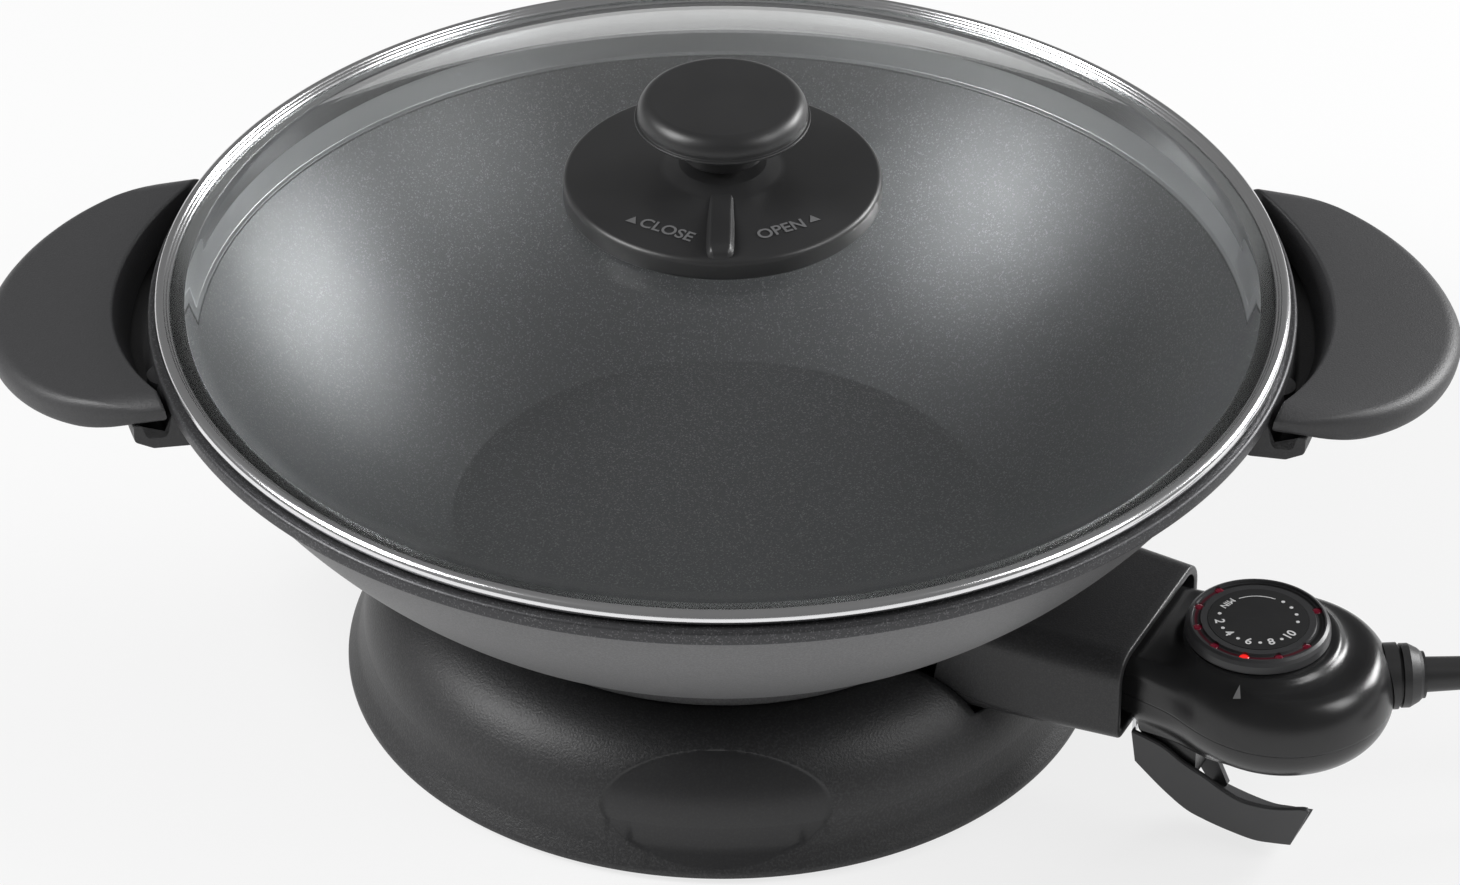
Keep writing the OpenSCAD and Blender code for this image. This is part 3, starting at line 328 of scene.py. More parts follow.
def grid_faces(rows, columns, first):
    """The four-sided faces between neighbours in a grid of points numbered row by row from first."""
    at = first + np.arange(rows - 1)[:, None] * columns + np.arange(columns - 1)
    return np.stack([at, at + 1, at + columns + 1, at + columns], axis=-1).reshape(-1, 4)


def make_piece(name, grids, body, finish, replaced=(), sharp=38.0, turned=None):
    """One object from grids of points in millimetres. Equal points are merged, so seams and poles close, and
    faces are turned outwards. Edges sharper than the angle stay sharp."""
    points, faces, first = [], [], 0
    for grid in grids:
        rows, columns = grid.shape[:2]
        points.append(grid.reshape(-1, 3))
        faces.append(grid_faces(rows, columns, first))
        first += rows * columns
    points = np.vstack(points)
    if turned is not None:
        points = turned(points)
    mesh = bpy.data.meshes.new(name)
    mesh.from_pydata((points * MM).tolist(), [], np.vstack(faces).tolist())
    shape = bmesh.new()
    shape.from_mesh(mesh)
    bmesh.ops.remove_doubles(shape, verts=shape.verts, dist=SAME_POINT)
    bmesh.ops.recalc_face_normals(shape, faces=shape.faces)
    shape.to_mesh(mesh)
    shape.free()
    mesh.shade_smooth()
    mesh.set_sharp_from_angle(angle=np.radians(sharp))
    piece = put(name, mesh)
    dress(piece, finish)
    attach(piece, body)
    if replaced:
        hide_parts(*replaced)
    return piece


def dress(piece, finish):
    """Gives a piece or a CAD node its finish."""
    piece.data.materials.clear()
    piece.data.materials.append(finish.material)


def rounded(corners, closed=False, steps=5):
    """An outline whose corners (a, b, radius) become circular arcs: a conic from one tangent point to the
    other, weighted by the sine of half the corner's angle. An arc takes at most half of its edges."""
    given = np.array(corners, float)
    at, radius = given[:, :2], given[:, 2]
    back, ahead = np.roll(at, 1, 0) - at, np.roll(at, -1, 0) - at
    back_l, ahead_l = np.linalg.norm(back, axis=1), np.linalg.norm(ahead, axis=1)
    back, ahead = back / back_l[:, None], ahead / ahead_l[:, None]
    half = 0.5 * np.arccos(np.clip((back * ahead).sum(1), -1, 1))
    cut = np.minimum(radius / np.tan(half), 0.49 * np.minimum(back_l, ahead_l))
    if not closed:
        cut[[0, -1]] = 0
    s = np.linspace(0, 1, steps + 1)[None, :, None]
    first, last = at + back * cut[:, None], at + ahead * cut[:, None]
    pull = 2 * np.sin(half)[:, None, None] * s * (1 - s)
    arc = (1 - s)**2 * first[:, None] + pull * at[:, None] + s**2 * last[:, None]
    return (arc / ((1 - s)**2 + pull + s**2)).reshape(-1, 2)


def revolve(profile, turns=256, start=0.0, stop=2 * np.pi):
    """The profile (radius, height) carried round the Z axis, from start to stop."""
    return polar(profile[:, 0], np.linspace(start, stop, turns)[:, None], profile[:, 1])


def grained_plastic(name, slot, colour, grain_mm, depth_mm, roughness):
    """Spark-eroded plastic: fine lumps in the surface, and a faint cloudiness in its gloss."""
    finish = Finish(name, slot)
    grain = finish.noise(grain_mm, detail=3.0, roughness=0.6)
    cloud = finish.noise(28.0)
    lighter = tuple(c * 1.25 for c in colour)
    return finish.surface(base_color=finish.mix(grain.between(0.35, 0.7), colour, lighter),
                          roughness=roughness - 0.03 + 0.06 * cloud, normal=finish.bump(grain, depth_mm))


def base_finish():
    """The base's grain, with a finer and glossier one inside the oval panel."""
    finish = Finish("base_finish", "base_plastic")
    x, y, z = finish.axes()
    panel = ((x / (OVAL_W / 2)) ** 2 + ((z - BASE_H / 2) / (OVAL_H / 2)) ** 2).root()
    inside = (1 - panel.between(0.97, 1.0)) * (y < 0)
    grain = finish.noise(0.75, detail=3.0, roughness=0.6)
    cloud = finish.noise(30.0)
    speck = grain.between(0.42, 0.72)
    colour = finish.mix(speck * (1 - 0.7 * inside), (0.016, 0.016, 0.017), (0.036, 0.036, 0.037))
    return finish.surface(base_color=colour, roughness=0.43 + 0.05 * cloud - 0.06 * inside,
                          normal=finish.bump(grain * (1 - 0.75 * inside), 0.16))


base_coat = base_finish()
hem = rounded([(BASE_R - 1.2, FEET_SHOW, 0), (BASE_R, FEET_SHOW + 0.8, 0.8), (BASE_R, 4, 3),
               (BASE_DOME_R + 2, 10, 12), (BASE_DOME_R, BASE_DOME_Z, 0)], steps=6)
notch_t = np.arcsin((NOTCH_FLOOR - BASE_DOME_Z) / (BASE_H - BASE_DOME_Z))
rise = np.concatenate([np.linspace(0, notch_t, NOTCH_STEPS + 1)[1:],
                       np.linspace(notch_t, np.pi / 2, TOP_STEPS + 1)[1:]])
dome = np.stack([DOME_TOP_R + (BASE_DOME_R - DOME_TOP_R) * np.cos(rise),
                 BASE_DOME_Z + (BASE_H - BASE_DOME_Z) * np.sin(rise)], axis=1)
seat = rounded([(DOME_TOP_R, BASE_H, 0), (REGISTER_R, BASE_H, 0.6), (REGISTER_R, BASE_H + 1.6, 0.5),
                (SEAT_R, BASE_H + 1.6, 0.5), (SEAT_R, BASE_H - BASE_WALL, 0)], steps=3)
skin = np.vstack([hem, dome, seat[1:]])
floor_row = len(hem) + NOTCH_STEPS


def notch_half(radius):
    """The notch's half angle at a radius: its walls close in a little towards the control."""
    return np.arcsin((NOTCH_OUT_HALF - (radius - NOTCH_OUT_R) * NOTCH_TAPER) / radius)


def skirt_points(share, rows):
    """Skin points at a share of the way round, from one side of the notch (0) to the other (1), with the
    oval panel pressed in by its depth."""
    radius, height = skin[rows, 0][None, :], skin[rows, 1][None, :]
    half = notch_half(radius)
    angle = CONTROL_AZ + half + share[:, None] * (2 * np.pi - 2 * half)
    x, y = radius * np.cos(angle), radius * np.sin(angle)
    panel = np.sqrt((x / (OVAL_W / 2))**2 + ((height - BASE_H / 2) / (OVAL_H / 2))**2)
    step = np.clip((1 - panel) / 0.035, 0, 1)
    press = 1 - OVAL_DEPTH * step**2 * (3 - 2 * step) * (y < 0) / radius
    return np.stack([x * press, y * press, height + 0 * x], axis=2)


# More points cross the oval panel, in front, which lies at this share of the way round.
front = ((np.radians(270) - CONTROL_AZ) / (2 * np.pi) - NOTCH_TURN) / (1 - 2 * NOTCH_TURN)
shares = np.unique(np.concatenate([np.linspace(0, 1, 200), np.linspace(front - 0.07, front + 0.07, 140)]))
across = np.linspace(-1, 1, 36)[:, None]
low_rows = np.arange(floor_row + 1)
low_r, low_z = skin[low_rows, 0][None, :], skin[low_rows, 1][None, :]
under_notch = polar(low_r, CONTROL_AZ + across * notch_half(low_r), low_z)
base_shell = make_piece("base_shell", [skirt_points(shares, np.arange(len(skin))), under_notch], "base",
                        base_coat, replaced=["base_skirt"])
wall = base_shell.modifiers.new("wall", "SOLIDIFY")
wall.thickness = BASE_WALL * MM
wall.offset = -1


def dress_nodes(finish, *nodes):
    """Gives CAD nodes that stay as they are their finish."""
    for node in nodes:
        dress(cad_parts[node], finish)


def plated_steel(name, slot, colour, roughness):
    """Plated or polished steel: fine scratches across its gloss and a slight cloudiness."""
    finish = Finish(name, slot)
    scratch = finish.noise(2.5, detail=4.0, roughness=0.7, stretch=(1, 9, 9))
    cloud = finish.noise(9.0)
    darker = tuple(c * 0.8 for c in colour)
    return finish.surface(base_color=finish.mix(cloud, darker, colour), metallic=1.0,
                          roughness=roughness + 0.14 * scratch.between(0.4, 0.75),
                          normal=finish.bump(scratch, 0.01, 0.4))


# Under the base: a vented cover, four rubber feet, plated screws and a bright reflector below the element.
screw_finish = plated_steel("screw_finish", "fastener_steel", (0.6, 0.6, 0.62), 0.25)
dress_nodes(grained_plastic("cover_finish", "base_plastic", (0.018, 0.018, 0.019), 0.9, 0.1, 0.5),
            "base_cover")
dress_nodes(grained_plastic("foot_finish", "foot_rubber", (0.012, 0.012, 0.012), 1.6, 0.12, 0.75),
            "base_foot_1", "base_foot_2", "base_foot_3", "base_foot_4")
dress_nodes(screw_finish, "base_screw_1", "base_screw_2", "base_screw_3")
dress_nodes(plated_steel("reflector_finish", "reflector_sheet", (0.78, 0.78, 0.8), 0.3), "heat_reflector")

# ---------------------------------------------------------------- wok
# One aluminium casting, turned true: a spherical wall that ends in a flat bottom on a foot ring, with a
# plain band and a ledge under the rim. Inside and rim are coated and flecked, the outside is satin grey.
RIM_R, RIM_TOP, RIM_FACE = 180.0, 141.0, 5.0
RIM_UNDER = RIM_TOP - RIM_FACE
BOWL_WALL, BOWL_FLOOR = 3.5, 4.0
FOOT_R, FOOT_W = 90.0, 6.0
FOOT_BOTTOM = BASE_H + 0.3
BOWL_BOTTOM = FOOT_BOTTOM + 5
FOOT_MEETS = FOOT_BOTTOM + 7.2
PIN_PITCH = 20.0
LEDGE_Z = RIM_TOP - 16
BAND_TOP_R = RIM_R - 9
BOWL_CZ = (((RIM_R - 4.6)**2 - FOOT_R**2 + RIM_UNDER**2 - FOOT_MEETS**2) / (2 * (RIM_UNDER - FOOT_MEETS)))
BOWL_R = np.hypot(FOOT_R, BOWL_CZ - FOOT_MEETS)
BOWL_IN_R = BOWL_R - BOWL_WALL
LEDGE_R = np.sqrt(BOWL_IN_R**2 - (BOWL_CZ - LEDGE_Z)**2) + 1.2


def bowl_arc(radius, low, high, steps=90):
    """Points of the circle of that radius about the bowl's centre, between two heights."""
    angle = np.linspace(np.arccos((BOWL_CZ - low) / radius), np.arccos((BOWL_CZ - high) / radius), steps)
    return np.stack([radius * np.sin(angle), BOWL_CZ - radius * np.cos(angle)], axis=1)


floor_z = BOWL_BOTTOM + BOWL_FLOOR
rim_corners = rounded([(LEDGE_R - 1.2, LEDGE_Z - 0.4, 0), (LEDGE_R - 1.2, LEDGE_Z, 0.3),
                       (LEDGE_R, LEDGE_Z + 0.5, 0.4), (BAND_TOP_R, RIM_TOP, 0.7), (RIM_R, RIM_TOP, 1.3),
                       (RIM_R, RIM_UNDER, 1.0), (RIM_R - 4.6, RIM_UNDER, 0)], steps=5)
foot_corners = rounded([(FOOT_R, FOOT_MEETS, 0), (FOOT_R, FOOT_BOTTOM, 0.7),
                        (FOOT_R - FOOT_W, FOOT_BOTTOM, 0.7), (FOOT_R - FOOT_W, BOWL_BOTTOM, 1.0),
                        (FOOT_R - FOOT_W - 4, BOWL_BOTTOM, 0)], steps=4)
bowl_profile = np.vstack([
    [(0, floor_z)], bowl_arc(BOWL_IN_R, floor_z, LEDGE_Z - 0.5), rim_corners,
    bowl_arc(BOWL_R, FOOT_MEETS + 0.3, RIM_UNDER - 0.1)[::-1], foot_corners, [(0, BOWL_BOTTOM)]])


def notched_foot(points):
    """Lifts the foot ring's underside to the flat bottom where the element's two ends pass out through it."""
    along = points[:, 0] * np.cos(CONTROL_AZ) + points[:, 1] * np.sin(CONTROL_AZ)
    aside = points[:, 1] * np.cos(CONTROL_AZ) - points[:, 0] * np.sin(CONTROL_AZ)
    low = (along > 0) & (abs(aside) < PIN_PITCH / 2 + 6) & (points[:, 2] < BOWL_BOTTOM)
    points[low, 2] = BOWL_BOTTOM
    return points


def pan_finish():
    """Inside and rim: dark metallic coating whose flecks catch the light, but the plain band is turned
    bare. Outside: satin grey with a fine grain. The distance from the bowl's centre tells them apart."""
    finish = Finish("pan_finish", "cast_bowl")
    x, y, z = finish.axes()
    deep = (x * x + y * y + (z - BOWL_CZ) ** 2).root()
    coated = 1 - deep.between(BOWL_R - 2.0, BOWL_R - 1.5)
    coated = coated.maths("MAXIMUM", z.between(RIM_UNDER - 0.4, RIM_UNDER))
    coated = coated * z.between(BOWL_BOTTOM + 1, BOWL_BOTTOM + 1.5)
    ring = (x * x + y * y).root()
    within = 1 - ring.between(BAND_TOP_R - 0.2, BAND_TOP_R + 0.1)
    turned = coated * z.between(LEDGE_Z - 0.2, LEDGE_Z + 0.2) * within
    grain = finish.noise(0.7, detail=3.0, roughness=0.65)
    fleck = finish.cells(0.36).between(0.74, 0.84)
    cloud = finish.noise(40.0)
    inside = finish.mix(fleck, (0.06, 0.06, 0.063), (0.13, 0.13, 0.134))
    outside = finish.mix(grain.between(0.35, 0.7), (0.115, 0.115, 0.118), (0.16, 0.16, 0.163))
    relief = (grain * 0.5 + fleck * 0.5) * (1 - 0.8 * turned)
    coating = finish.mix(turned, inside, (0.4, 0.4, 0.41))
    return finish.surface(base_color=finish.mix(coated, outside, coating),
                          metallic=0.3 + 0.4 * coated + 0.25 * turned,
                          roughness=0.46 - 0.08 * coated - 0.1 * turned + 0.05 * cloud,
                          normal=finish.bump(relief, 0.08))


make_piece("wok_pan", [revolve(bowl_profile, 361)], "wok", pan_finish(), replaced=["wok_bowl"], sharp=30,
           turned=notched_foot)

# Under the flat bottom: a steel tube element, whose cold ends reach a ceramic block with two contact pins.
dress_nodes(plated_steel("element_finish", "element_steel", (0.2, 0.19, 0.18), 0.45), "heating_element")
dress_nodes(grained_plastic("ceramic_finish", "terminal_ceramic", (0.55, 0.52, 0.45), 0.8, 0.05, 0.7),
            "terminal_block")
dress_nodes(plated_steel("contact_finish", "terminal_metal", (0.66, 0.6, 0.46), 0.22),
            "terminal_pin_near", "terminal_pin_far")

# ---------------------------------------------------------------- socket
# A moulded phenolic shroud under the rim that guards the terminals and takes the control. It widens to the
# wok, where it is cut to the bowl's wall, and a slanting seam parts its small lower shell from the upper.
SOCKET_X, SOCKET_Z = 152.0, 50.0
SOCKET_W, SOCKET_H, SOCKET_WALL = 64.0, 31.0, 3.0
SOCKET_ROOT_W, SOCKET_ROOT_H = 72.0, 34.0
MOUTH_DEPTH = 34.0
MOUTH_LOW = SOCKET_Z - SOCKET_H / 2
SEAM_SLOPE = 7.8 / 41


def from_control(points):
    """Turns points from the control's own frame, +X along its axis, to the wok's."""
    c, s = np.cos(CONTROL_AZ), np.sin(CONTROL_AZ)
    return points @ np.array([[c, s, 0], [-s, c, 0], [0, 0, 1]])


def oblong(width, height, low_r, top_r, steps=8):
    """A closed rounded rectangle (across, up) about the socket's axis, with other radii below and on top."""
    a, b = width / 2, height / 2
    outline = rounded([(a, -b, low_r), (a, b, top_r), (-a, b, top_r), (-a, -b, low_r)], True, steps)
    return np.vstack([outline, outline[:1]])


def ring_at(outline, x, z=SOCKET_Z):
    """The outline as points in the control's frame, at x along its axis."""
    return np.stack([np.broadcast_to(x, len(outline)), outline[:, 0], outline[:, 1] + z], axis=1)


root_ring = ring_at(oblong(SOCKET_ROOT_W, SOCKET_ROOT_H, 5, 9), FOOT_R + 0.3)
mouth_ring = ring_at(oblong(SOCKET_W, SOCKET_H, 5, 9), SOCKET_X - 0.7)
# Each straight line from root to mouth starts where it leaves the bowl's sphere.
step = mouth_ring - root_ring
from_centre = root_ring - np.array([0, 0, BOWL_CZ])
qa, qb = (step**2).sum(1), (step * from_centre).sum(1)
qc = (from_centre**2).sum(1) - (BOWL_R + 0.1)**2
leaves = np.where(qc < 0, (-qb + np.sqrt(np.maximum(qb**2 - qa * qc, 0))) / qa, 0)[:, None]
share = np.linspace(0, 1, 14)[None, :, None]
outer = root_ring[:, None] + step[:, None] * (leaves[:, None] + (1 - leaves[:, None]) * share)
pole = np.broadcast_to([FOOT_R + 22, 0, SOCKET_Z], root_ring.shape)
lip = [ring_at(oblong(SOCKET_W - inset, SOCKET_H - inset, 5 - inset / 2, 9 - inset / 2), x)
       for inset, x in ((0.4, SOCKET_X - 0.25), (1.4, SOCKET_X), (4.6, SOCKET_X), (5.6, SOCKET_X - 0.25))]
hollow = [ring_at(oblong(SOCKET_W - 2 * SOCKET_WALL, SOCKET_H - 2 * SOCKET_WALL, 3, 5), x)
          for x in (SOCKET_X - 0.8, SOCKET_X - MOUTH_DEPTH + 1)]
back = np.broadcast_to([SOCKET_X - MOUTH_DEPTH + 1, 0, SOCKET_Z], root_ring.shape)
shroud = np.concatenate([pole[:, None], outer, np.stack(lip + hollow + [back], axis=1)], axis=1)


def socket_finish():
    """Phenolic moulding with a fine spark texture. The seam is a thin line that climbs towards the wok."""
    finish = Finish("socket_finish", "socket_plastic")
    x, y, z = finish.axes()
    along = x * np.cos(CONTROL_AZ) + y * np.sin(CONTROL_AZ)
    seam = 1 - abs(z - (MOUTH_LOW + 8 - (along - FOOT_R + 5) * SEAM_SLOPE)).between(0.1, 0.28)
    grain = finish.noise(0.55, detail=3.0, roughness=0.6)
    cloud = finish.noise(24.0)
    colour = finish.mix(grain.between(0.4, 0.72), (0.017, 0.017, 0.018), (0.035, 0.035, 0.036))
    return finish.surface(base_color=colour, roughness=0.36 + 0.06 * cloud,
                          normal=finish.bump(grain * 0.35 - seam, 0.22))


make_piece("socket_shroud", [shroud], "wok", socket_finish(), replaced=["socket_upper", "socket_lower"],
           turned=from_control, sharp=40)
dress_nodes(screw_finish, "socket_screw")

# ---------------------------------------------------------------- handles
# Moulded phenolic ears with soft edges. A thumb scoop is cut into each beside the rim, and a bracket under
# the rim takes the two screws that hold the handle to the casting.
HANDLE_TIP, HANDLE_HALF, HANDLE_T = 234.0, 66.0, 10.0
HANDLE_TOP = RIM_TOP - 2.5
HANDLE_ROOT, HANDLE_GAP_R, GAP_CURVE_R = RIM_R - 15, RIM_R + 8, 109.0
OUTLINE_POWER, OUTLINE_ROUND = 2.4, 0.55
HANDLE_REACH, THIN_FROM = 65.2, 57.0
HANDLE_DROOP = np.radians(10)
SCOOP_X, SCOOP_LOW_R, SCOOP_TOP_R = RIM_R - 87, 92.0, 98.5
BRACKET_LOW = RIM_UNDER - 15
SCREW_R, SCREW_AZ = RIM_R - 4, np.radians(12)


def capped(bar):
    """Closes a bar of closed sections at both ends, at each end section's middle."""
    ends = bar[[0, -1]].mean(axis=1, keepdims=True) + 0 * bar[[0, -1]]
    return np.concatenate([ends[:1], bar, ends[1:]])


def handle_plate():
    """The plate as closed sections across y, thinner at its two ends. A section runs from the scoop's wall
    or the gap, whichever is further out, to the ear's outline, whose half width is 66 (1 - t^2.4)^0.55. Its
    four corners are quarters of ellipses. It turns down 10 degrees about the gap."""
    t = np.linspace(0, 1, 4001)
    outline_y = HANDLE_HALF * (1 - t**OUTLINE_POWER)**OUTLINE_ROUND
    outline_x = HANDLE_ROOT + (HANDLE_TIP - HANDLE_ROOT) * t
    reach = HANDLE_REACH * np.sin(np.linspace(-np.pi / 2, np.pi / 2, 121))
    far = np.interp(abs(reach), outline_y[::-1], outline_x[::-1])
    gap = np.maximum(HANDLE_GAP_R - GAP_CURVE_R + np.sqrt(GAP_CURVE_R**2 - reach**2),
                     np.sqrt((RIM_R + 2)**2 - reach**2))
    low = np.maximum(gap, SCOOP_X + np.sqrt(SCOOP_LOW_R**2 - reach**2))
    top = np.maximum(gap, SCOOP_X + np.sqrt(SCOOP_TOP_R**2 - reach**2))
    width = np.maximum(far - top, 0.02)
    sweep = np.linspace(0, np.pi / 2, 9)[None, :]
    sections = []
    for edge, side, height, turn, rx, rz in ((low, 1, HANDLE_TOP - HANDLE_T, np.pi, 1.0, 1.0),
                                             (far, -1, HANDLE_TOP - HANDLE_T, 1.5 * np.pi, 2.4, 4.0),
                                             (far, -1, HANDLE_TOP, 0.0, 6.5, 4.6),
                                             (top, 1, HANDLE_TOP, 0.5 * np.pi, 1.2, 1.2)):
        rx = np.minimum(rx, 0.45 * width)[:, None]
        up = 1 if height < HANDLE_TOP else -1
        x = edge[:, None] + side * rx + rx * np.cos(turn + sweep)
        z = height + up * rz + rz * np.sin(turn + sweep) + 0 * x
        sections.append(np.stack([x, reach[:, None] + 0 * x, z], axis=2))
    plate = np.concatenate(sections + [sections[0][:, :1]], axis=1)
    middle_z = HANDLE_TOP - HANDLE_T / 2
    past = np.clip((abs(reach) - THIN_FROM) / (HANDLE_REACH - THIN_FROM), 0, 1)
    thin = np.sqrt(1 - 0.9 * past**2)[:, None]
    plate[..., 2] = middle_z + (plate[..., 2] - middle_z) * thin
    x, z = plate[..., 0] - HANDLE_GAP_R, plate[..., 2] - HANDLE_TOP
    plate[..., 0] = HANDLE_GAP_R + x * np.cos(HANDLE_DROOP) + z * np.sin(HANDLE_DROOP)
    plate[..., 2] = HANDLE_TOP - x * np.sin(HANDLE_DROOP) + z * np.cos(HANDLE_DROOP)
    return capped(plate)


def handle_bracket():
    """The bracket's closed section carried 20 degrees to either side about the wok's axis, with flat ends."""
    corners = [(HANDLE_ROOT + 3, BRACKET_LOW + 5, 1), (HANDLE_ROOT + 8, BRACKET_LOW, 2),
               (HANDLE_GAP_R - 3, BRACKET_LOW + 1.5, 2), (HANDLE_GAP_R + 3, 126, 2),
               (HANDLE_GAP_R + 3, 131.5, 1), (HANDLE_GAP_R + 0.5, 131.5, 0.5), (HANDLE_GAP_R - 1, 126.5, 2),
               (RIM_R + 0.5, 125.5, 2), (RIM_R - 1.5, RIM_UNDER - 1.2, 0.5), (RIM_R - 7, RIM_UNDER - 1.2, 0.5)]
    section = rounded(corners, closed=True, steps=4)
    section = np.vstack([section, section[:1]])
    return capped(revolve(section, 41, np.radians(-20), np.radians(20)))


def screw_boss(side):
    """A round boss under the bracket, open below round the screw's head."""
    profile = rounded([(2.2, BRACKET_LOW + 8, 0), (2.2, BRACKET_LOW - 1, 0.4), (6, BRACKET_LOW - 1, 0.8),
                       (6, BRACKET_LOW + 11, 0)], steps=3)
    boss = revolve(np.vstack([[(0, BRACKET_LOW + 8)], profile, [(0, BRACKET_LOW + 11)]]), 33)
    return boss + polar(SCREW_R, side * SCREW_AZ, 0)


handle_coat = grained_plastic("handle_finish", "handle_plastic", (0.034, 0.034, 0.0355), 0.6, 0.1, 0.46)
for handle, way in (("handle_left", -1), ("handle_right", 1)):
    make_piece(handle + "_grip", [handle_plate(), handle_bracket(), screw_boss(-1), screw_boss(1)], "wok",
               handle_coat, replaced=[handle], sharp=45,
               turned=lambda points, way=way: points * np.array([way, way, 1]))
    dress_nodes(screw_finish, handle + "_screw_1", handle + "_screw_2")

# ---------------------------------------------------------------- lid glass
# Tempered soda-lime glass, a shallow dome with a ground edge, a centre hole for the knob's sleeve and one
# small steam port under the vent disc.
LID_R, LID_Z = RIM_R - 2, RIM_TOP + 0.3
GLASS_R, GLASS_T, DOME_H = LID_R - 8.5, 4.0, 38.3
GLASS_TOP = LID_Z + DOME_H
DOME_EDGE_Z = LID_Z + 3.7
DOME_R = (GLASS_R**2 + (GLASS_TOP - DOME_EDGE_Z)**2) / (2 * (GLASS_TOP - DOME_EDGE_Z))
DOME_CZ = GLASS_TOP - DOME_R
BUSH_R = 6.0


def dome_arc(radius, outer, inner, steps=70):
    """Points on the glass's circle of that radius, from the outer distance to the inner one."""
    at = np.linspace(outer, inner, steps)
    return np.stack([at, DOME_CZ + np.sqrt(radius**2 - at**2)], axis=1)


def clear_glass():
    """Clear glass with a trace of green. Light meant for shadows passes straight through it."""
    finish = Finish("glass_finish", "lid_glass")
    finish.surface(base_color=(0.97, 0.985, 0.98), roughness=0.0, ior=1.45, transmission_weight=1.0)
    shadow_ray = finish.node("ShaderNodeLightPath", output="Is Shadow Ray")
    clear = finish.node("ShaderNodeBsdfTransparent", {}, {"Color": (0.93, 0.95, 0.945, 1)})
    both = finish.node("ShaderNodeMixShader", {},
                       {0: shadow_ray, 1: Value(finish, finish.shader.outputs[0]), 2: clear})
    finish.give(finish.tree.nodes["Material Output"].inputs["Surface"], both)
    return finish


# The edge is ground thin where the band holds it.
GLASS_EDGE_R = LID_R - 4.4
LIP_Z = LID_Z + 0.75
ground_r = np.sqrt((DOME_R - GLASS_T)**2 - (LIP_Z + 0.05 - DOME_CZ)**2)
glass_profile = np.vstack([dome_arc(DOME_R, BUSH_R, GLASS_EDGE_R), [(GLASS_EDGE_R, LIP_Z + 0.05)],
                           dome_arc(DOME_R - GLASS_T, ground_r, BUSH_R), [(BUSH_R, GLASS_TOP - 0.05)]])
glass_profile[0, 1] = GLASS_TOP - 0.05
make_piece("glass_dome", [revolve(glass_profile, 321)], "lid", clear_glass(), replaced=["lid_glass"], sharp=50)

# ---------------------------------------------------------------- lid band
# Polished stainless strip, rolled round the glass's edge. The roll has fine ridges on top, and a skirt
# drops inside the wok's rim.
ROLL_R = 2.45
BAND_IN_R = LID_R - 5.0
LIP_IN_R = LID_R - 10.5


def band_wall(z):
    """Radius of the plain band inside the wok's rim at a height."""
    return LEDGE_R + (BAND_TOP_R - LEDGE_R) * (z - LEDGE_Z) / 16


def glass_at(radius):
    """Height of the glass's upper face at a distance from the axis."""
    return DOME_CZ + np.sqrt(DOME_R**2 - radius**2)


skirt_top, skirt_low = LID_Z - 1.4, LID_Z - 8
roll_turn = np.linspace(-np.pi / 2, np.pi / 2, 25)
outer_roll = np.stack([LID_R - ROLL_R + ROLL_R * np.cos(roll_turn),
                       LID_Z + ROLL_R + ROLL_R * np.sin(roll_turn)], axis=1)
# Inside the roll the strip falls to the glass in three shallow ridges.
fall = np.linspace(0, 1, 37)[1:]
ridges = np.stack([LID_R - ROLL_R + (BAND_IN_R - LID_R + ROLL_R) * fall,
                   LID_Z + 2 * ROLL_R + (glass_at(BAND_IN_R) + 0.9 - LID_Z - 2 * ROLL_R) * fall
                   + 0.14 * abs(np.sin(3 * np.pi * fall))], axis=1)
band_profile = np.vstack([
    [(BAND_TOP_R - 0.6, LID_Z)], outer_roll, ridges,
    rounded([(BAND_IN_R, glass_at(BAND_IN_R) + 0.9, 0), (BAND_IN_R - 0.25, glass_at(BAND_IN_R) + 0.5, 0.3),
             (BAND_IN_R, glass_at(BAND_IN_R) + 0.05, 0),
             (GLASS_EDGE_R + 0.05, glass_at(GLASS_EDGE_R) + 0.05, 0),
             (GLASS_EDGE_R + 0.05, LIP_Z, 0), (LIP_IN_R, LIP_Z, 0.3), (LIP_IN_R, LIP_Z - 1.4, 0.5),
             (band_wall(skirt_top) - 1.45, skirt_top - 1, 0.5), (band_wall(skirt_low) - 1.45, skirt_low, 0.3),
             (band_wall(skirt_low) - 0.45, skirt_low, 0.3), (band_wall(skirt_top) - 0.45, skirt_top, 0.5),
             (BAND_TOP_R - 0.6, LID_Z, 0)], steps=3)])


def band_finish():
    """Polished stainless steel with faint turning marks round the lid."""
    finish = Finish("band_finish", "lid_steel")
    x, y, z = finish.axes()
    ring = (x * x + y * y).root()
    lines = finish.node("ShaderNodeTexNoise", {"noise_dimensions": "1D"},
                        {"W": ring, "Scale": 3.0, "Detail": 2.0})
    cloud = finish.noise(14.0)
    return finish.surface(base_color=finish.mix(cloud, (0.78, 0.78, 0.79), (0.86, 0.86, 0.87)), metallic=1.0,
                          roughness=0.13 + 0.08 * lines, normal=finish.bump(lines, 0.02, 0.5))


make_piece("steel_band", [revolve(band_profile, 361)], "lid", band_finish(), replaced=["lid_band"], sharp=35)

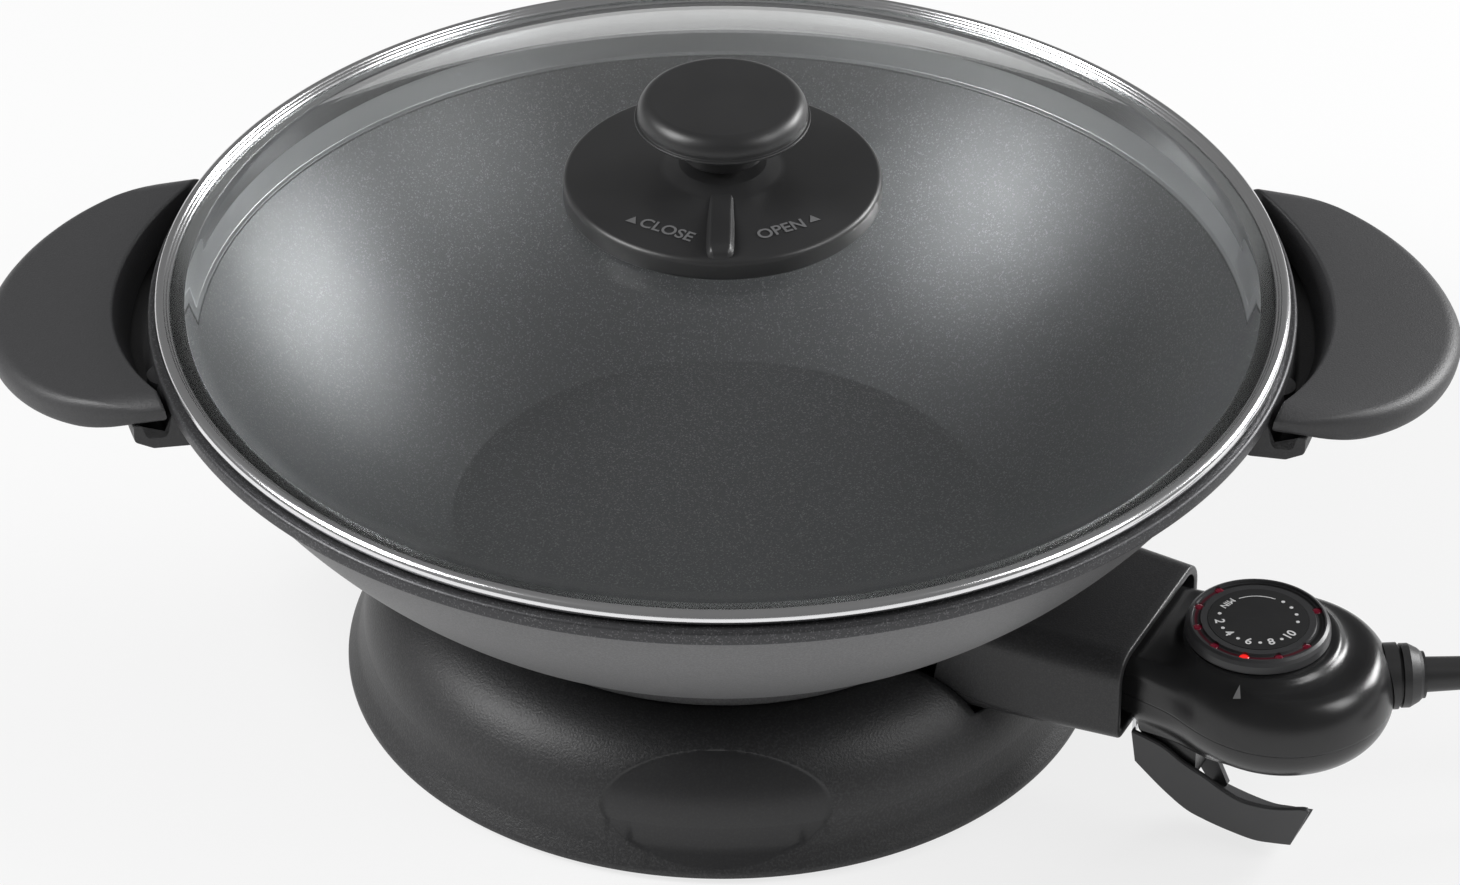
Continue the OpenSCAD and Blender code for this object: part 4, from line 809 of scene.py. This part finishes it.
# ---------------------------------------------------------------- steam vent and knob
# On the glass: a silicone seal, a turned steel sleeve, and a phenolic disc that turns under the knob to
# open or close the steam port. The knob is two mouldings, held from below by one screw and a washer.
VENT_R, VENT_H = 49.6, 7.0
VENT_Z = DOME_CZ + np.sqrt(DOME_R**2 - VENT_R**2) + 0.5
VENT_EDGE_Z = VENT_Z + VENT_H
VENT_TOP = VENT_EDGE_Z + 4.5
SEAL_TOP = GLASS_TOP + 1.4
KNOB_R, STEM_R = 26.8, 12.8
KNOB_FLAT_R = KNOB_R - 5.2
KNOB_Z = VENT_TOP + 3.2
KNOB_TOP = VENT_EDGE_Z + 6 + 22.5
KNOB_SEAM = KNOB_TOP - 7.4
RIB_W = 8.6


def satin_plastic(name, slot, colour, roughness, grain_mm=0.4, depth_mm=0.03):
    """Phenolic or nylon moulding with a soft sheen: a very fine grain and faint clouds in its gloss."""
    finish = Finish(name, slot)
    grain = finish.noise(grain_mm, detail=2.0, roughness=0.6)
    cloud = finish.noise(18.0)
    lighter = tuple(c * 1.35 for c in colour)
    return finish.surface(base_color=finish.mix(cloud, colour, lighter), roughness=roughness + 0.07 * cloud,
                          normal=finish.bump(grain, depth_mm))


knob_coat = satin_plastic("knob_finish", "knob_plastic", (0.017, 0.017, 0.0175), 0.34)
dress_nodes(satin_plastic("seal_finish", "vent_rubber", (0.03, 0.03, 0.031), 0.6), "vent_seal")
dress_nodes(plated_steel("bush_finish", "bush_steel", (0.62, 0.61, 0.58), 0.3),
            "vent_bush")
dress_nodes(screw_finish, "knob_screw", "knob_washer")

disc_profile = np.vstack([
    [(BUSH_R + 0.05, SEAL_TOP + 0.3)],
    rounded([(VENT_R - 3, SEAL_TOP + 0.3, 0), (VENT_R - 3, VENT_Z, 0.4), (VENT_R, VENT_Z, 0.8),
             (VENT_R, VENT_EDGE_Z, 2.0), (STEM_R + 6, VENT_EDGE_Z + 2.5, 8), (STEM_R + 0.8, VENT_TOP, 0.8),
             (BUSH_R + 0.05, VENT_TOP, 0)], steps=8),
    [(BUSH_R + 0.05, SEAL_TOP + 0.3)]])


def vent_rib():
    """The finger rib, a bar from the stem to near the disc's edge towards the front. Its section is a flat
    top on two rounded shoulders, and it ends in a soft nose."""
    section = rounded([(-RIB_W / 2, -3, 0), (-RIB_W / 2, 1.4, 0.8), (-RIB_W / 2 + 1.2, 3.2, 1.2),
                       (RIB_W / 2 - 1.2, 3.2, 1.2), (RIB_W / 2, 1.4, 0.8), (RIB_W / 2, -3, 0)], steps=4)
    section = np.vstack([section, section[:1]])
    along = np.array([9.0, 10, 20, 30, 38, 43, 45.5, 47, 47.9, 48.3])
    shrink = np.array([1.0, 1, 1, 1, 1, 1, 0.97, 0.88, 0.7, 0.4])
    bar = np.stack([section[None, :, 0] * shrink[:, None], -along[:, None] + 0 * section[None, :, 0],
                    VENT_EDGE_Z + (section[None, :, 1] + 3) * shrink[:, None] - 3], axis=2)
    return capped(bar)


make_piece("vent_plate", [revolve(disc_profile, 241), vent_rib()], "vent", knob_coat, replaced=["vent_disc"],
           sharp=35)

# The knob: a narrow stem that swells to a parting ridge, and a flat-topped cap above it.
swell = np.linspace(0, np.pi / 2, 30)
knob_profile = np.vstack([
    [(0, KNOB_Z), (STEM_R - 0.5, KNOB_Z), (STEM_R, KNOB_Z + 0.5)],
    np.stack([KNOB_R - 1 - (KNOB_R - STEM_R - 1.2) * np.cos(swell),
              KNOB_Z + 3 + (KNOB_SEAM - KNOB_Z - 4) * np.sin(swell)], axis=1),
    rounded([(KNOB_R - 0.9, KNOB_SEAM - 1, 0), (KNOB_R + 0.4, KNOB_SEAM - 0.9, 0.4),
             (KNOB_R + 0.4, KNOB_SEAM, 0.3), (KNOB_R - 0.5, KNOB_SEAM + 0.15, 0.2),
             (KNOB_R - 0.4, KNOB_SEAM + 1, 0)], steps=3),
    np.stack([KNOB_FLAT_R + 4.8 * np.cos(swell),
              KNOB_SEAM + 1 + (KNOB_TOP - KNOB_SEAM - 1.5) * np.sin(swell)], axis=1),
    np.stack([KNOB_FLAT_R * (1 - fall), KNOB_TOP - 0.5 + 0.5 * (1 - (1 - fall)**2)], axis=1)])
make_piece("knob_grip", [revolve(knob_profile, 181)], "lid", knob_coat, replaced=["lid_knob", "knob_cap"],
           sharp=35)

# ---------------------------------------------------------------- control housing
# Two nylon mouldings that meet at a seam: a flat neck that fits the socket and swells into a round body,
# with a raised bezel under the dial, a chin under the neck and one lug that carries the lever's pin.
NECK_W, NECK_H = 48.0, 22.0
BULB_R, BULB_TOP, BULB_BOTTOM = 35.5, 65.0, 33.5
SHOULDER_R, BELLY_R = 9.0, 15.0
BEZEL_X, BEZEL_R, BEZEL_TOP = 186.0, 24.0, 67.0
CHIN_Z = 33.1
CORE = np.array([176.0, 0.0, 50.0])
FILLET = 2.2


def past_box(offsets, radius):
    """Distance outside a box with rounded edges, from how far a point lies past each pair of its faces."""
    q = np.stack(offsets) + radius
    return np.sqrt((np.maximum(q, 0)**2).sum(0)) + np.minimum(q.max(0), 0) - radius


def housing_field(point):
    """Below 0 inside the housing. Round body, neck, chin and bezel are distances in millimetres, joined with
    minus k times the logarithm of the sum of exp(-distance / k), which leaves a fillet between them."""
    x, y, z = point
    ring = np.hypot(x - BULB_X, y)
    upper = z > SEAM_Z
    edge = np.where(upper, SHOULDER_R, BELLY_R)
    rise = np.where(upper, BULB_TOP - SEAM_Z, SEAM_Z - BULB_BOTTOM)
    bulge = np.sqrt((np.maximum(ring - BULB_R + edge, 0) / edge)**2 + ((z - SEAM_Z) / rise)**2)
    bulb = (bulge - 1) * np.minimum(edge, rise)
    t = np.clip((x - SOCKET_X) / (BULB_X - 12 - SOCKET_X), 0, 1)
    neck = past_box([abs(y) - NECK_W / 2 - 5.5 * t, abs(z - SOCKET_Z + 0.5 * t) - NECK_H / 2 - 1.75 * t,
                     abs(x - 156) - 30], 5 + 6 * t)
    chin = past_box([abs(x - 167) - 12.6, abs(y) - NECK_W / 2 + 2.2, abs(z - 42) - 42 + CHIN_Z], 1.6)
    bezel = past_box([np.hypot(x - BEZEL_X, y) - BEZEL_R, abs(z - 50) - BEZEL_TOP + 50], 0.7)
    parts = np.stack([bulb, neck, chin, bezel + 0.4])
    least = parts.min(0)
    return least - FILLET * np.log(np.exp(-(parts - least) / FILLET).sum(0)) + 0.35


def housing_surface(rows=401, columns=201):
    """Rays from the core in all directions; 40 halvings find where each leaves the housing."""
    turn = np.linspace(0, 2 * np.pi, rows)[:, None]
    fall = np.linspace(0, np.pi, columns)[None, :]
    way = np.stack([np.sin(fall) * np.cos(turn), np.sin(fall) * np.sin(turn), np.cos(fall) + 0 * turn])
    near, far = np.zeros(way.shape[1:]), np.full(way.shape[1:], 75.0)
    for _ in range(40):
        middle = (near + far) / 2
        inside = housing_field(CORE[:, None, None] + middle * way) < 0
        near, far = np.where(inside, middle, near), np.where(inside, far, middle)
    surface = np.moveaxis(CORE[:, None, None] + near * way, 0, 2)
    surface[-1] = surface[0]
    return surface


def prism(outline, low, high):
    """A flat convex outline (x, z) carried across from y = low to y = high, closed at both ends."""
    ring = np.vstack([outline, outline[:1]])
    middle = np.broadcast_to(outline.mean(0), ring.shape)
    return np.stack([np.stack([flat[:, 0], np.full(len(ring), y), flat[:, 1]], axis=1)
                     for flat, y in ((middle, low), (ring, low), (ring, high), (middle, high))])


LEVER_X, LEVER_TOP, LEVER_Y, LEVER_W, LEVER_T = 152.8, 32.0, -22.0, 18.0, 2.0
PIVOT_X, PIVOT_Z, EAR_R = 169.8, 22.1, 4.0
LUG_GAP = 0.3
LUG_LOW_Y, LUG_HIGH_Y = LEVER_Y + LEVER_T + LUG_GAP, LEVER_Y + LEVER_W - LEVER_T - LUG_GAP
DIAL_X = 184.6
POINTER_AZ, POINTER_TIP, POINTER_END, POINTER_SPREAD = np.radians(255), 26.0, 30.0, 0.3
lug_outline = rounded([(LEVER_X + 1.5, CHIN_Z + 3, 0.5), (LEVER_X + 1.5, CHIN_Z, 0.5),
                       (PIVOT_X - 3, PIVOT_Z - EAR_R, 3.5), (PIVOT_X + EAR_R, PIVOT_Z - EAR_R, 3.5),
                       (PIVOT_X + EAR_R, CHIN_Z + 3, 0.5)], closed=True)


def housing_finish():
    """Semi-gloss black nylon with a fine grain. A thin seam runs round it, and a grey pointer for the dial
    is printed beside the bezel."""
    finish = Finish("housing_finish", "control_plastic")
    x, y, z = finish.axes()
    dx = x - DIAL_X * np.cos(CONTROL_AZ)
    dy = y - DIAL_X * np.sin(CONTROL_AZ)
    out = dx * np.cos(POINTER_AZ) + dy * np.sin(POINTER_AZ)
    aside = abs(dx * np.sin(POINTER_AZ) - dy * np.cos(POINTER_AZ))
    printed = (aside < (out - POINTER_TIP) * POINTER_SPREAD) * (out < POINTER_END) * (z > 55)
    seam = 1 - abs(z - SEAM_Z).between(0.08, 0.3)
    grain = finish.noise(0.35, detail=2.0, roughness=0.6)
    cloud = finish.noise(16.0)
    black = finish.mix(cloud, (0.012, 0.012, 0.0125), (0.02, 0.02, 0.0205))
    return finish.surface(base_color=finish.mix(printed, black, (0.3, 0.3, 0.3)),
                          roughness=0.22 + 0.07 * cloud, normal=finish.bump(grain * 0.12 - seam, 0.25))


housing_coat = housing_finish()
make_piece("control_housing", [housing_surface()], "control", housing_coat,
           replaced=["control_top", "control_bottom"], turned=from_control, sharp=50)
make_piece("lever_lug", [prism(lug_outline, LUG_LOW_Y, LUG_HIGH_Y)], "control", housing_coat,
           turned=from_control, sharp=30)
dress_nodes(screw_finish, "control_screw_1", "control_screw_2")
dress_nodes(grained_plastic("switch_finish", "thermostat_metal", (0.42, 0.4, 0.33), 0.8, 0.05, 0.6),
            "thermostat")
dress_nodes(plated_steel("probe_finish", "sensor_steel", (0.7, 0.7, 0.71), 0.25), "sensor_rod")

# ---------------------------------------------------------------- dial
# A satin dial turned by its rim, with eight windows over a red light ring. A dark groove joins the windows,
# and its face is a separate disc with the printed settings. A plated spindle drives the thermostat.
DIAL_TOP = 72.3
WINDOW_AT, WINDOW_R = 19.3, 1.58
WINDOWS = (126, 158, 190, 222, 254, 286, 318, 17)
LENS_TOP = DIAL_TOP - 0.55
LIT_AZ = 254.0
dial_centre = from_control(np.array([[DIAL_X, 0.0, 0.0]]))[0]


def dial_polar(finish):
    """Distance from the dial's axis in millimetres, and the cosine of the angle from a direction."""
    x, y, _ = finish.axes()
    dx, dy = x - float(dial_centre[0]), y - float(dial_centre[1])
    ring = (dx * dx + dy * dy).root()

    def towards(degrees):
        return (dx * float(np.cos(np.radians(degrees))) + dy * float(np.sin(np.radians(degrees)))) / ring

    return ring, towards


def dial_finish():
    """Satin black, with the groove between the windows dark red except across the back right."""
    finish = Finish("dial_finish", "dial_plastic")
    ring, towards = dial_polar(finish)
    line = 1 - abs(ring - WINDOW_AT).between(0.35, 0.55)
    red = line * (towards(222.0) > -0.11)
    cloud = finish.noise(12.0)
    grain = finish.noise(0.3)
    satin = finish.mix(cloud, (0.035, 0.035, 0.037), (0.05, 0.05, 0.052))
    marked = finish.mix(line, satin, (0.006, 0.006, 0.006))
    deep = finish.mix(red, marked, (0.07, 0.004, 0.012))
    return finish.surface(base_color=deep, roughness=0.3 + 0.08 * cloud, normal=finish.bump(grain, 0.02))


def lamp_finish():
    """Dark red clear plastic, lit from below at one window."""
    finish = Finish("lamp_finish", "lamp_red")
    _, towards = dial_polar(finish)
    lit = towards(LIT_AZ).between(0.985, 0.998)
    cloud = finish.noise(2.0)
    return finish.surface(base_color=finish.mix(cloud, (0.09, 0.003, 0.012), (0.16, 0.006, 0.02)),
                          roughness=0.12 + 0.1 * cloud, coat_weight=0.5,
                          emission_color=finish.mix(lit, (0.03, 0.0, 0.003), (1.0, 0.02, 0.01)),
                          emission_strength=0.9)


def lens(degrees):
    """A low round lens that fills one of the dial's windows."""
    profile = np.array([[0, -3.5], [WINDOW_R, -3.5], [WINDOW_R, -0.35], [0.85 * WINDOW_R, -0.1],
                        [0.5 * WINDOW_R, 0], [0, 0]])
    return revolve(profile, 21) + dial_centre + polar(WINDOW_AT, np.radians(degrees), LENS_TOP)


lamp_coat = lamp_finish()
make_piece("dial_lenses", [lens(at) for at in WINDOWS], "dial_body", lamp_coat, sharp=50)
dress_nodes(dial_finish(), "dial")
dress_nodes(satin_plastic("face_finish", "dial_plastic", (0.012, 0.012, 0.0125), 0.45), "dial_face")
dress_nodes(lamp_coat, "lamp_ring")
dress_nodes(screw_finish, "dial_spindle")


def ink_finish():
    """White pad-printed ink, a little uneven."""
    finish = Finish("ink_finish", "dial_plastic")
    cloud = finish.noise(1.2)
    return finish.surface(base_color=finish.mix(cloud, (0.62, 0.62, 0.62), (0.8, 0.8, 0.8)),
                          roughness=0.5 + 0.1 * cloud)


STROKE_GAIN = 0.02


def flat_words(words, size, turn, place):
    """The words as a flat mesh in millimetres, turned about Z by so many degrees and centred on a place."""
    data = bpy.data.curves.new("words", "FONT")
    data.body, data.size, data.align_x, data.align_y = words, size, "CENTER", "CENTER"
    data.offset = STROKE_GAIN * size
    source = bpy.data.objects.new("words", data)
    mesh = bpy.data.meshes.new_from_object(source)
    corners = np.zeros(len(mesh.vertices) * 3)
    mesh.vertices.foreach_get("co", corners)
    faces = [tuple(face.vertices) for face in mesh.polygons]
    bpy.data.objects.remove(source)
    bpy.data.curves.remove(data)
    c, s = np.cos(np.radians(turn)), np.sin(np.radians(turn))
    return corners.reshape(-1, 3) @ np.array([[c, s, 0], [-s, c, 0], [0, 0, 1]]) + place, faces


def spot(place, radius, sides=20):
    """A printed dot."""
    ring = polar(radius, np.linspace(0, 2 * np.pi, sides, endpoint=False), 0)
    return ring + place, [tuple(range(sides))]


def print_piece(name, shapes, body, finish):
    """One object of all the flat printed shapes, (points, faces) each."""
    points, faces, first = [], [], 0
    for shape_points, shape_faces in shapes:
        points.append(shape_points)
        faces += [tuple(first + corner for corner in face) for face in shape_faces]
        first += len(shape_points)
    mesh = bpy.data.meshes.new(name)
    mesh.from_pydata((np.vstack(points) * MM).tolist(), [], faces)
    piece = put(name, mesh)
    dress(piece, finish)
    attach(piece, body)


PRINT_Z = DIAL_TOP + 0.14
NUMBER_AT, NUMBER_SIZE, MIN_SIZE = 12.2, 4.3, 3.1
DOT_R = 0.6


def on_dial(degrees, distance=NUMBER_AT):
    """The place on the dial's face at an angle round it."""
    return dial_centre + polar(distance, np.radians(degrees), PRINT_Z)


settings = [flat_words(words, size, at + 90, on_dial(at))
            for words, size, at in (("MIN", MIN_SIZE, 138.6), ("2", NUMBER_SIZE, 186),
                                    ("4", NUMBER_SIZE, 218), ("6", NUMBER_SIZE, 252.5),
                                    ("8", NUMBER_SIZE, 286), ("10", NUMBER_SIZE, 319))]
settings += [spot(on_dial(at), DOT_R) for at in (167, 203, 236, 269.5, 303, 354, 12, 30, 48)]
sweep = np.radians(np.linspace(61, 117.5, 30))
arc = np.concatenate([polar(NUMBER_AT - 0.45, sweep, 0), polar(NUMBER_AT - 0.1, sweep[::-1], 0)])
settings.append((arc + on_dial(0, 0), [(i, i + 1, 58 - i, 59 - i) for i in range(29)]))
print_piece("dial_settings", settings, "dial_body", ink_finish())


# The vent disc's words are raised a little from the disc. They are the disc's own colour, but here they are
# coloured lighter than it: a painted highlight for the light their raised letters catch.
def on_disc(shape):
    """Lays a flat shape on the disc's slope, a third of a millimetre proud."""
    points, faces = shape
    ring = np.hypot(points[:, 0], points[:, 1])
    points[:, 2] = VENT_EDGE_Z + 2.5 * np.clip((VENT_R - 1 - ring) / (VENT_R - STEM_R - 6), 0, 1) + 0.3
    return points, faces


# Painted highlight: the words are set lighter than the disc to stand in for the light on their raised edges.
words_painted_highlight = satin_plastic("words_painted_highlight", "knob_plastic", (0.1, 0.1, 0.102), 0.3)
arrow = np.array([[-2.2, 0, 0], [1.1, 1.9, 0], [1.1, -1.9, 0]])
vent_words = [flat_words("CLOSE", 6.2, -28, np.array([-16.5, -34.0, 0])),
              flat_words("OPEN", 6.2, 28, np.array([18.6, -33.0, 0])),
              (arrow + np.array([-27.2, -28.7, 0]), [(0, 1, 2)]),
              (arrow * [-1, 1, 1] + np.array([28.4, -27.0, 0]), [(0, 1, 2)])]
print_piece("vent_words", [on_disc(shape) for shape in vent_words], "vent", words_painted_highlight)

# ---------------------------------------------------------------- release lever
# A moulded lever on a steel pin under the neck: a tall side wall that dips under the body and turns up
# again, a finger pad along its lower edge, and a second ear. A steel leaf on the neck presses it back.
UPPER_EDGE = [(0, 1.2), (10, -1.2), (17.5, -5.4), (25, -8.5), (32, -12), (38, -13.8), (45, -13.6),
              (51, -12.3), (58.5, -9.8), (60, -10.8)]
LOWER_EDGE = [(1.7, -10.5), (6, -14.2), (12, -19), (19, -23.5), (25, -25.4), (33, -26.9), (42, -27.8),
              (48, -27), (54.6, -25.6)]
PAD_LOW = [(22, -24.5), (33, -26.9), (42, -27.8), (48, -27), (54.6, -25.6)]
PAD_TOP = [(22, -21.8), (33, -24.2), (42, -25.2), (48, -24.4), (55.4, -23.2)]
CORNER_MM = 0.5


def evenly(points, count=48):
    """The smooth curve through the points, at equal steps along it."""
    route = np.array([(x, z, 0) for x, z in (points[0], *points, points[-1])], float)
    line = smooth_route(route, 8)[:, :2]
    along = np.concatenate([[0], np.cumsum(np.linalg.norm(np.diff(line, axis=0), axis=1))])
    at = np.linspace(0, along[-1], count)
    return np.stack([np.interp(at, along, line[:, 0]), np.interp(at, along, line[:, 1])], axis=1)


def bar_between(low_edge, top_edge, low_y, high_y):
    """A bar that fills the side view between two edges and reaches from low_y to high_y. Its sections are
    rectangles with bevelled corners."""
    low, top = evenly(low_edge), evenly(top_edge)
    depth = np.linalg.norm(top - low, axis=1)
    corner = np.minimum(CORNER_MM / np.maximum(depth, 0.1), 0.3)[:, None]
    across = CORNER_MM / (high_y - low_y)
    v = np.array([0, 0, across, 1 - across, 1, 1, 1 - across, across, 0])[None, :]
    near_edge = np.array([1, -1, 0, 0, -1, 1, 0, 0, 1])[None, :]
    at_top = np.array([0, 1, 1, 1, 1, 0, 0, 0, 0])[None, :]
    w = at_top + corner * near_edge
    flat = low[:, None] + (top - low)[:, None] * w[..., None]
    return capped(np.stack([LEVER_X + flat[..., 0], low_y + (high_y - low_y) * v + 0 * w,
                            LEVER_TOP + flat[..., 1]], axis=2))


ear_turn = np.linspace(np.radians(15), np.radians(215), 20)
ear_outline = np.vstack([
    polar(EAR_R, ear_turn, 0)[:, :2] + [PIVOT_X, PIVOT_Z],
    [(LEVER_X + 22, LEVER_TOP - 24.5), (LEVER_X + 26, LEVER_TOP - 24.5), (LEVER_X + 27, LEVER_TOP - 22)]])
make_piece("release_lever_arm", [bar_between(LOWER_EDGE, UPPER_EDGE, LEVER_Y, LEVER_Y + LEVER_T),
                                 bar_between(PAD_LOW, PAD_TOP, LEVER_Y + 0.1, LEVER_Y + LEVER_W),
                                 prism(ear_outline, LEVER_Y + LEVER_W - LEVER_T, LEVER_Y + LEVER_W)],
           "lever", satin_plastic("lever_finish", "lever_plastic", (0.06, 0.06, 0.062), 0.4, 0.5, 0.05),
           replaced=["release_lever"], turned=from_control, sharp=40)
dress_nodes(screw_finish, "lever_pin")
dress_nodes(plated_steel("leaf_finish", "fastener_steel", (0.75, 0.75, 0.77), 0.15), "lever_spring")

# ---------------------------------------------------------------- collar, relief and plug
# A ringed collar screwed into the housing, a tapered strain relief, and a moulded two-pin plug at the end.
dress_nodes(satin_plastic("collar_finish", "plug_rubber", (0.02, 0.02, 0.0205), 0.4),
            "cord_collar", "strain_relief", "plug_body")
dress_nodes(plated_steel("pin_finish", "plug_metal", (0.7, 0.66, 0.5), 0.2),
            "plug_pin_1", "plug_pin_2")
